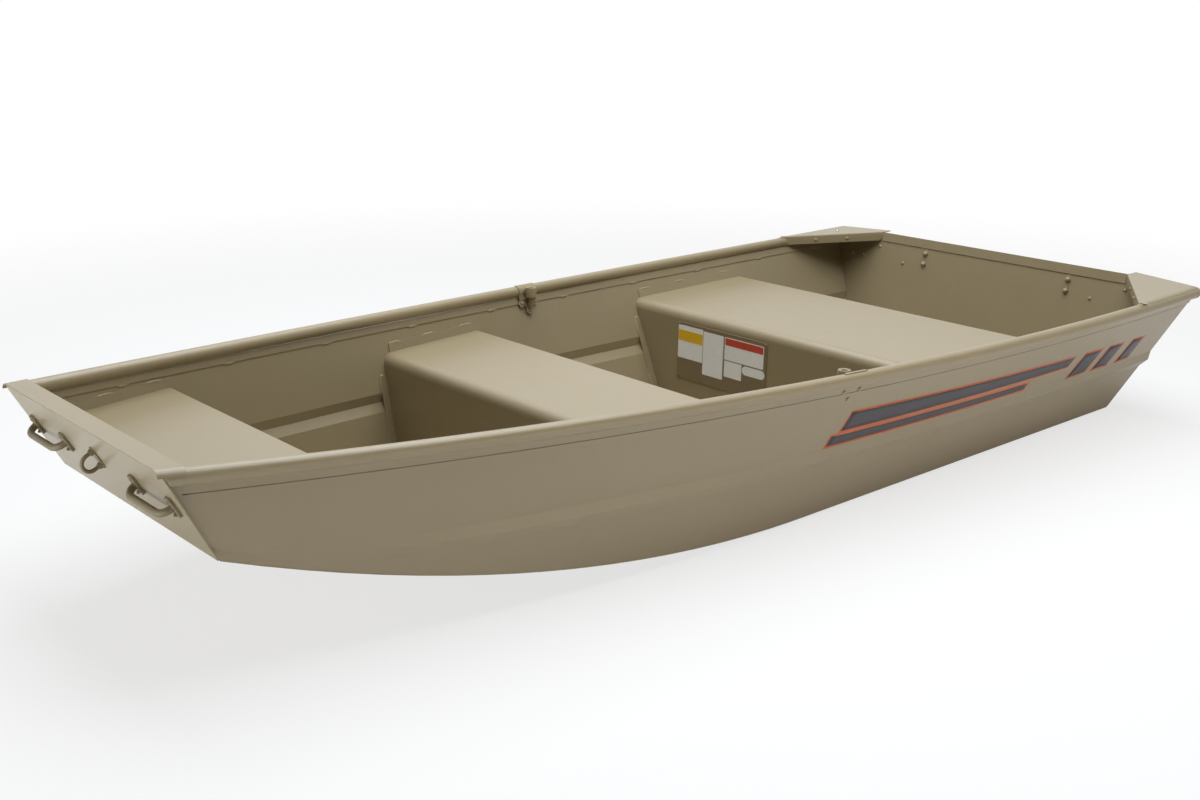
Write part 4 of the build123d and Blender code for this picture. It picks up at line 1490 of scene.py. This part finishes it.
@dataclass
class WeldBeads(SubAssembly):
    """Stitch welds of benches, gunwale lips, keels, ribs and hull seams, sized as width and height."""

    usual: Pair = (0.0085, 0.0038)
    on_lip: Pair = (0.0095, 0.0040)
    on_chine: Pair = (0.0046, 0.0011)
    on_bow_foot: Pair = (0.006, 0.0018)
    on_bow_side: Pair = (0.0055, 0.0014)
    pitch: float = 0.003
    bench_lip: float = 0.021
    bench_inset: float = 0.024
    bench_turn: float = 0.027
    bow_bench_start: float = 0.122
    face_bead: float = 0.05
    face_step: float = 0.15
    corner_bead: float = 0.014
    lip_foot: float = 0.0335
    lip_span: Pair = (0.25, 2.85)
    lip_bead: Pair = (0.030, 0.040)
    lip_step: Pair = (0.278, 0.292)
    lip_edge: float = 0.0315
    # Width and end insets of the dark strip painted as the lip's shadow.
    lip_shadow: float = 0.0034
    lip_shadow_fore: float = 0.024
    lip_shadow_aft: float = 0.034
    film: float = 0.0002
    keel_clear: float = 0.0015
    keel_inset: float = 0.05
    keel_bead: float = 0.04
    keel_step: float = 0.20
    rib_clear: float = 0.002
    rib_span_inset: Pair = (0.06, 0.08)
    rib_bead: float = 0.035
    rib_step: float = 0.14
    chine_inset: float = 0.0006
    chine_ends: Pair = (0.006, 0.004)
    foot_bead: float = 0.045
    foot_shares: tuple[float, ...] = (0.04, 0.22, 0.41, 0.60, 0.79)
    side_shares: Triple = (0.06, 0.34, 0.62)
    side_share_length: float = 0.17
    chance: random.Random = field(default_factory=lambda: random.Random(SEED))

    def _run(
        self, shaper: Shaper, spot: Callable[[float], Spot], start: float, end: float,
        size: Pair | None = None,
    ) -> None:
        """Lays one bead along a run of surface points.

        Args:
            shaper: Mesh that it goes into.
            spot: Gives the surface point and normal at a distance along the run.
            start: Distance that the bead starts at.
            end: Distance that it ends at.
            size: Width and height of the bead, or None for the usual ones.
        """
        count = max(int(abs(end - start) / self.pitch), 4)
        path = [spot(start + (end - start) * step / count) for step in range(count + 1)]
        shaper.bead(path, *(size or self.usual), self.chance)

    def _stitches(
        self, shaper: Shaper, spot: Callable[[float], Spot], span: Pair, length: float, step: float,
    ) -> None:
        """Lays beads of one length at even steps.

        Args:
            shaper: Mesh that they go into.
            spot: Gives the surface point and normal at a distance along the run.
            span: Distances between which beads start.
            length: Length of each bead.
            step: Distance from one start to the next.
        """
        start, last = span
        while start < last:
            self._run(shaper, spot, start, start + length)
            start += step

    def _bench(
        self, node: str, shares: Sequence[float], length: float, face: bool, shaper: Shaper,
    ) -> None:
        """Welds one bench's end flanges, and its face flanges where it has them.

        Args:
            node: Packed bench.
            shares: Places along the end flange, from 0 at its front to 1 at its rear.
            length: Length of each bead.
            face: True if flanges stand along its front face too.
            shaper: Mesh that the beads go into.
        """
        low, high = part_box(node)
        front = low.x + self.bow_bench_start
        if face:
            front = low.x + self.bench_lip + self.bench_inset
        rear = high.x - self.bench_inset
        top = high.z - self.bench_lip - self.bench_turn - self.bench_inset
        for hand in Hand:
            for share in shares:
                start = front + (rear - front - length) * share
                self._run(shaper, lambda x: self.skin.inner(hand, x, high.z), start, start + length)
            if face:
                for upper in (top, top - self.face_step):
                    lower = upper - self.face_bead
                    self._run(shaper, lambda z: self.skin.inner(hand, low.x, z), lower, upper)
                corner = low.x + 0.001
                end = corner + self.corner_bead
                self._run(shaper, lambda x: self.skin.inner(hand, x, top), corner, end)

    def _lips(self, shaper: Shaper) -> None:
        """Welds the gunwale channels' inner lips to the side sheets."""
        first, last = self.lip_span
        for hand in Hand:

            def spot(place: float) -> Spot:
                """Surface just under the lip."""
                return self.skin.inner(hand, place, self.lines.gunwale(place)[1] - self.lip_foot)

            x = self.lines.bow_x + first
            while x < self.lines.bow_x + last:
                length = self.chance.uniform(*self.lip_bead)
                self._run(shaper, spot, x, x + length, self.on_lip)
                x += self.chance.uniform(*self.lip_step)

    def _crevices(self, shaper: Shaper) -> None:
        """Lays a thin dark strip under each channel's outer lip, a painted shadow of the lip."""
        low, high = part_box("gunwale_channel_port")
        columns = 120
        start = low.x + self.lip_shadow_fore
        end = high.x - self.lip_shadow_aft
        for hand in Hand:
            rows = []
            for below in (self.lip_edge, self.lip_edge + self.lip_shadow):
                row = []
                for column in range(columns + 1):
                    x = start + (end - start) * column / columns
                    row.append(self.skin.outer("side", hand, x, self.lines.gunwale(x)[1] - below))
                rows.append(row)
            shaper.sheet(rows, 0.0, self.film)

    def _keels(self, shaper: Shaper) -> None:
        """Stitches both edges of each keel flange to the bottom."""
        for node in ("keel_center", "keel_starboard", "keel_port"):
            low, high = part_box(node)
            span = (low.x + self.keel_inset, high.x - self.keel_inset)
            for y in (low.y - self.keel_clear, high.y + self.keel_clear):

                def spot(x: float) -> Spot:
                    """Outer face of the bottom beside the keel."""
                    return self.skin.hit("hull_bottom", Vector((x, y, -0.5)), UP)

                self._stitches(shaper, spot, span, self.keel_bead, self.keel_step)

    def _ribs(self, shaper: Shaper) -> None:
        """Stitches both edges of each floor rib to the bottom."""
        for node in sorted(name for name in self.skin.nodes if name.startswith("floor_rib")):
            low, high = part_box(node)
            span = (low.y + self.rib_span_inset[0], high.y - self.rib_span_inset[1])
            for x in (low.x - self.rib_clear, high.x + self.rib_clear):

                def spot(y: float) -> Spot:
                    """Inner face of the bottom beside the rib."""
                    return self.skin.hit("hull_bottom", Vector((x, y, 1.0)), -UP)

                self._stitches(shaper, spot, span, self.rib_bead, self.rib_step)

    def _chines(self, shaper: Shaper) -> None:
        """Lays the long seam between each side and the bottom."""
        low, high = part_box("hull_bottom")
        for hand in Hand:

            def spot(x: float) -> Spot:
                """Lower corner of the side, with a normal between side and bottom."""
                half, height = self.lines.chine(x)
                rise = self.lines.chine(x + 0.01)[1] - height
                normal = Vector((rise * 70, hand.value * 0.7, -0.7)).normalized()
                y = hand.value * (half - self.chine_inset)
                return Vector((x, y, height + self.chine_inset)), normal

            fore, aft = self.chine_ends
            self._run(shaper, spot, low.x + fore, high.x - aft, self.on_chine)

    def _bow(self, shaper: Shaper) -> None:
        """Stitches the bow plate to the bottom and the sides."""
        low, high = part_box("bow_plate")
        foot = Vector((high.x, 0, low.z))
        top = Vector((low.x, 0, high.z))
        normal = Vector((foot.z - top.z, 0, top.x - foot.x)).normalized()
        foot_y = self.lines.chine(foot.x)[0]
        top_y = self.lines.gunwale(top.x)[0]

        def on_foot(y: float) -> Spot:
            """Lower edge of the bow plate."""
            return foot + Vector((-0.001, y, 0.0012)), normal

        for share in self.foot_shares:
            y = (share * 2 - 1) * foot_y + 0.05
            self._run(shaper, on_foot, y, y + self.foot_bead, self.on_bow_foot)
        for hand in Hand:
            foot_end = foot + Vector((0, hand.value * (foot_y - 0.003), 0))
            top_end = top + Vector((0, hand.value * (top_y - 0.003), 0))
            for start in self.side_shares:
                shares = [start + self.side_share_length * step / 15 for step in range(16)]
                path = [(foot_end.lerp(top_end, share), normal) for share in shares]
                shaper.bead(path, *self.on_bow_side, self.chance)

    def build(self) -> None:
        """Lays every weld, one piece for each kind."""
        bead = self.palette.bead
        kinds: list[tuple[str, bpy.types.Material, Callable[[Shaper], None]]] = [
            ("bow_seat_welds", bead, partial(self._bench, "bow_seat", (0.12, 1.0), 0.045, False)),
            ("mid_seat_welds", bead, partial(self._bench, "mid_seat", (0.0, 0.47, 1.0), 0.042, True)),
            ("rear_seat_welds", bead, partial(self._bench, "rear_seat", (0.02, 0.42, 0.93), 0.045, True)),
            ("gunwale_lip_welds", bead, self._lips),
            # The dark strips under the lips are painted shadow.
            ("lip_shadow_strips", self.palette.lip_shadow, self._crevices),
            ("keel_welds", bead, self._keels),
            ("floor_rib_welds", bead, self._ribs),
            ("chine_welds", bead, self._chines),
            ("bow_plate_welds", bead, self._bow),
        ]
        for name, finish, lay in kinds:
            shaper = Shaper()
            lay(shaper)
            shaper.finished(name, [finish], Slot.HULL, crease=None)


@dataclass
class GunwaleEnds(SubAssembly):
    """Round ends pressed into the after ends of the gunwale tubes."""

    proud: float = 0.0004
    skirt: float = 0.012

    def build(self) -> None:
        """Builds the end of each tube."""
        radius = self.lines.tube_radius
        for hand in Hand:
            shaper = Shaper()
            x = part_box(f"gunwale_{hand.word}")[1].x - radius
            centre = self.lines.tube(hand, x)
            place = seat(centre, centre - self.lines.tube(hand, x - 0.01), UP)
            size = radius + self.proud
            skirt = [(radius - self.proud, -self.skirt), (size, -self.skirt + 0.0005)]
            profile = [*skirt, *dome(size, radius, 10), (0.0005, radius)]
            shaper.lathe(place, profile, sides=40)
            shaper.finished(f"gunwale_end_{hand.word}", [self.palette.hull], Slot.HULL)


@dataclass
class SideStripes(SubAssembly):
    """Charcoal stripes with an orange edge along both sides, a plain tapered pattern."""

    below_gunwale: float = 0.171
    fore: float = 0.020
    aft: float = 1.368
    height_fore: float = 0.080
    height_aft: float = 0.060
    edging: float = 0.0048
    slant: float = 0.35
    film: float = 0.00025
    lance: float = 0.92
    bars: int = 3
    bar_gap: float = 0.055
    bar_step: float = 0.125
    bar_width: float = 0.085
    bar_narrowing: float = 0.012

    def _spot(self, hand: Hand, along: float, up: float) -> Spot:
        """Surface point of the pattern.

        Args:
            hand: Side of the boat.
            along: Distance aft along the pattern's lower edge.
            up: Height over that edge.

        Returns:
            The point on the side sheet's outer face and its normal.
        """
        x = along + self.slant * up
        return self.skin.outer("side", hand, x, self.lines.gunwale(x)[1] - self.below_gunwale + up)

    def _panel(
        self, shaper: Shaper, hand: Hand, start: Triple, end: Triple, grow: float, layer: int
    ) -> None:
        """Lays one four-sided panel of film.

        Args:
            shaper: Mesh that it goes into.
            hand: Side of the boat.
            start: Place along, lower height and upper height at its fore end.
            end: The same at its after end.
            grow: How far it reaches past its outline.
            layer: How many films lie under it.
        """
        lean = grow * math.sqrt(1 + self.slant**2)
        columns = max(int((end[0] - start[0]) / 0.02), 2)
        rows = []
        for row in range(5):
            share_up = row / 4
            line = []
            for column in range(columns + 1):
                share = column / columns
                along = start[0] - lean + (end[0] - start[0] + 2 * lean) * share
                low = start[1] + (end[1] - start[1]) * share - grow
                high = start[2] + (end[2] - start[2]) * share + grow
                line.append(self._spot(hand, along, low + (high - low) * share_up))
            rows.append(line)
        shaper.sheet(rows, layer * self.film, (layer + 1) * self.film)

    def _height(self, along: float) -> float:
        """Height of the pattern at a place along it."""
        share = (along - self.fore) / (self.aft - self.fore)
        return self.height_fore + (self.height_aft - self.height_fore) * share

    def build(self) -> None:
        """Lays the pattern on both sides: a split lance and three bars."""
        lance_end = self.fore + self.lance
        tall = self._height(self.fore)
        tip = self._height(lance_end)
        panels = [
            ((self.fore + 0.02, 0.44 * tall, tall), (lance_end, 0.62 * tip, tip)),
            ((self.fore, 0.0, 0.30 * tall), (lance_end - 0.16, 0.10 * tip, 0.36 * tip)),
        ]
        for index in range(self.bars):
            fore = lance_end + self.bar_gap + self.bar_step * index
            aft = fore + self.bar_width - self.bar_narrowing * index
            panels.append(((fore, 0.0, self._height(fore)), (aft, 0.0, self._height(aft))))
        for hand in Hand:
            shaper = Shaper()
            for start, end in panels:
                shaper.finish = 1
                self._panel(shaper, hand, start, end, self.edging, 0)
                shaper.finish = 0
                self._panel(shaper, hand, start, end, 0.0, 1)
            finishes = [self.palette.stripe, self.palette.edging]
            shaper.finished(f"side_stripe_{hand.word}", finishes, Slot.HULL, crease=None)


@dataclass
class LabelPlate(SubAssembly):
    """Plate on the rear bench's front face, with blank stickers on it."""

    y: Pair = (0.040, 0.368)
    z: Pair = (0.098, 0.262)
    thickness: float = 0.0025
    corner: float = 0.004
    rim: float = 0.0006
    film: float = 0.0004
    film_rim: float = 0.0001
    rivet_inset: float = 0.006
    rivet_above: float = 0.007
    rivet_below: float = 0.005
    rivet_scale: float = 0.6

    def _sheet(
        self, shaper: Shaper, span_y: Pair, span_z: Pair, height: float, thickness: float, corner: float,
        rim: float,
    ) -> Matrix:
        """Lays one rectangular sheet on the bench's face.

        Args:
            shaper: Mesh that it goes into.
            span_y: Its ends across the boat.
            span_z: Its lower and upper edge.
            height: Height of its lower face over the bench.
            thickness: Its thickness.
            corner: Corner radius.
            rim: Width of its eased rim.

        Returns:
            The frame of its lower face.
        """
        start = Vector((-0.2, sum(span_y) / 2, sum(span_z) / 2))
        place = shifted(seat(*self.skin.hit("rear_seat", start, Vector((1, 0, 0))), UP), 0, 0, height)
        outline = rounded_rectangle(span_y[1] - span_y[0], span_z[1] - span_z[0], corner)
        shaper.prism(place, outline, thickness, rim)
        return place

    def build(self) -> None:
        """Builds the plate and its stickers."""
        shaper = Shaper()
        place = self._sheet(shaper, self.y, self.z, 0.0, self.thickness, self.corner, self.rim)
        for y in (self.y[0] + self.rivet_inset, self.y[1] - self.rivet_inset):
            for z in (self.z[0] + self.rivet_above, self.z[1] - self.rivet_below):
                head = shifted(place, 0, 0, self.thickness)
                head.translation.y = y
                head.translation.z = z
                FASTENERS.rivet(shaper, head, self.rivet_scale)
        shaper.finished("label_plate", [self.palette.plate], Slot.HULL)
        stickers = Shaper()
        square = 0.002
        # Ends across the boat, lower and upper edge, finish, films under it, corner radius.
        table = (
            ((0.272, 0.366), (0.158, 0.254), 0, 0, square),
            ((0.273, 0.365), (0.209, 0.240), 1, 1, square),
            ((0.195, 0.270), (0.126, 0.251), 0, 0, square),
            ((0.050, 0.190), (0.187, 0.251), 0, 0, square),
            ((0.052, 0.188), (0.229, 0.249), 2, 1, square),
            ((0.126, 0.189), (0.138, 0.184), 0, 0, square),
            ((0.044, 0.124), (0.158, 0.183), 0, 0, 0.012),
        )
        for span_y, span_z, finish, layer, corner in table:
            stickers.finish = finish
            height = self.thickness + layer * self.film
            self._sheet(stickers, span_y, span_z, height, self.film, corner, self.film_rim)
        finishes = [self.palette.paper, self.palette.yellow, self.palette.red]
        stickers.finished("label_stickers", finishes, Slot.HULL)


@dataclass
class Studio:
    """Floor, soft lights, pale surroundings and the camera at the photograph's angle."""

    image: Pair = (1200.0, 800.0)
    focal_pixels: float = 1444.41
    centre: Pair = (488.57, 391.60)
    place: Triple = (-2.496582, -2.404171, 1.263988)
    azimuth: float = -39.0079
    elevation: float = 16.8366
    sensor: float = 36.0
    floor: float = 60.0
    backdrop: Triple = (0.6, 0.74, 0.0)
    backdrop_span: Pair = (-0.25, 0.60)
    dimness: float = 0.08

    def _camera(self) -> None:
        """Sets the camera up."""
        width, height = self.image
        data = bpy.data.cameras.new("camera")
        data.sensor_width = self.sensor
        data.sensor_fit = "HORIZONTAL"
        data.lens = self.focal_pixels * self.sensor / width
        data.shift_x = (width / 2 - self.centre[0]) / width
        data.shift_y = (self.centre[1] - height / 2) / width
        turn = math.radians(self.azimuth)
        rise = math.radians(self.elevation)
        back = Vector((math.sin(turn) * math.cos(rise), -math.cos(turn) * math.cos(rise), math.sin(rise)))
        bpy.context.scene.camera = aimed(placed("camera", data), Vector(self.place), -back)

    @staticmethod
    def _lamp(
        name: str, place: Vector, target: Vector, size: Pair, power: float, tint: Color,
    ) -> None:
        """Adds one soft rectangular lamp.

        Args:
            name: Its name.
            place: Where it hangs.
            target: Point that it faces.
            size: Its two sides.
            power: Its power in watts.
            tint: Its colour.
        """
        data = bpy.data.lights.new(name, "AREA")
        data.shape = "RECTANGLE"
        data.size, data.size_y = size
        data.energy = power
        data.color = tint
        lamp = aimed(placed(name, data), place, target - place)
        lamp.visible_camera = False

    def _world(self) -> None:
        """Makes the surroundings dim, white to the camera, and white to gloss on the far side."""
        tree = ShaderTree(bpy.data.worlds.new("surroundings"))
        heading = tree.add("ShaderNodeTexCoord", output="Generated")
        away = tree.vector("DOT_PRODUCT", heading, self.backdrop, output="Value")
        share = tree.seen_by("Camera") + tree.seen_by("Glossy") * tree.ramp(away, *self.backdrop_span)
        dim = {"Color": (0.97, 0.985, 1.0), "Strength": self.dimness}
        lit = tree.add("ShaderNodeBackground", inputs=dim)
        white = tree.add("ShaderNodeBackground", inputs={"Color": (1.0, 1.0, 1.0), "Strength": 1.0})
        mixed = tree.add("ShaderNodeMixShader", inputs={0: share, 1: lit, 2: white})
        bpy.context.scene.world = tree.surface(mixed)

    def _floor(self) -> None:
        """Lays the floor under the keels."""
        mesh = bmesh.new()
        bmesh.ops.create_grid(mesh, x_segments=8, y_segments=8, size=self.floor / 2)
        data = bpy.data.meshes.new("studio_floor")
        mesh.to_mesh(data)
        mesh.free()
        data.materials.append(PaleFloor("pale_floor", (0.94, 0.94, 0.94), 0.72).material())
        placed("studio_floor", data)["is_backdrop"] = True

    def build(self) -> None:
        """Builds the studio."""
        self._camera()
        self._floor()
        self._world()
        middle = Vector((0.0, 0.0, 0.3))
        cool = (0.93, 0.965, 1.0)
        warm = (1.0, 0.86, 0.67)
        beside = Vector((1.2, -4.2, 0.24))
        ahead = Vector((-3.6, 0.1, 0.16))
        self._lamp("overhead_softbox", Vector((0.1, 0.0, 3.3)), middle, (4.4, 3.2), 176.0, cool)
        self._lamp("port_softbox", beside, Vector((0.4, -0.6, 0.15)), (4.0, 1.0), 42.0, warm)
        self._lamp("bow_softbox", ahead, Vector((-1.5, 0.0, 0.4)), (1.8, 0.3), 34.0, cool)
        bpy.context.scene.view_settings.view_transform = "Standard"
        LOG.info("studio: camera, floor and lamps")


def plain(corners: Spot) -> list[list[float]]:
    """Turns two corners into plain lists of numbers."""
    return [[round(value, 6) for value in corner] for corner in corners]


def main() -> None:
    """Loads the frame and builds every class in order."""
    logging.basicConfig(level=logging.INFO, format="%(message)s")
    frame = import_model()
    cad_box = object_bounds()
    nodes = frame["nodes"]
    skin = Skin(nodes)
    palette = Palette()
    cap_ahead_of_tip = 0.0015
    bow_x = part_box("bow_cap")[0].x - cap_ahead_of_tip
    clamp = next(mount for mount in frame["record"]["mounts"] if mount["name"] == "motor_clamp")
    lines = HullLines(bow_x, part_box("hull_bottom")[0].z, Vector(clamp["pos_m"]))
    Studio().build()
    DressedSheets(nodes, palette).build()
    kinds = (BowFittings, SternFittings, CornerKnees, OarlockSockets, GunwaleEnds, WeldBeads, SideStripes)
    for kind in (*kinds, LabelPlate):
        kind(skin, palette, lines).build()
    sizes = {"cad": plain(cad_box), "visual": plain(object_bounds())}


if __name__ == "__main__":
    main()
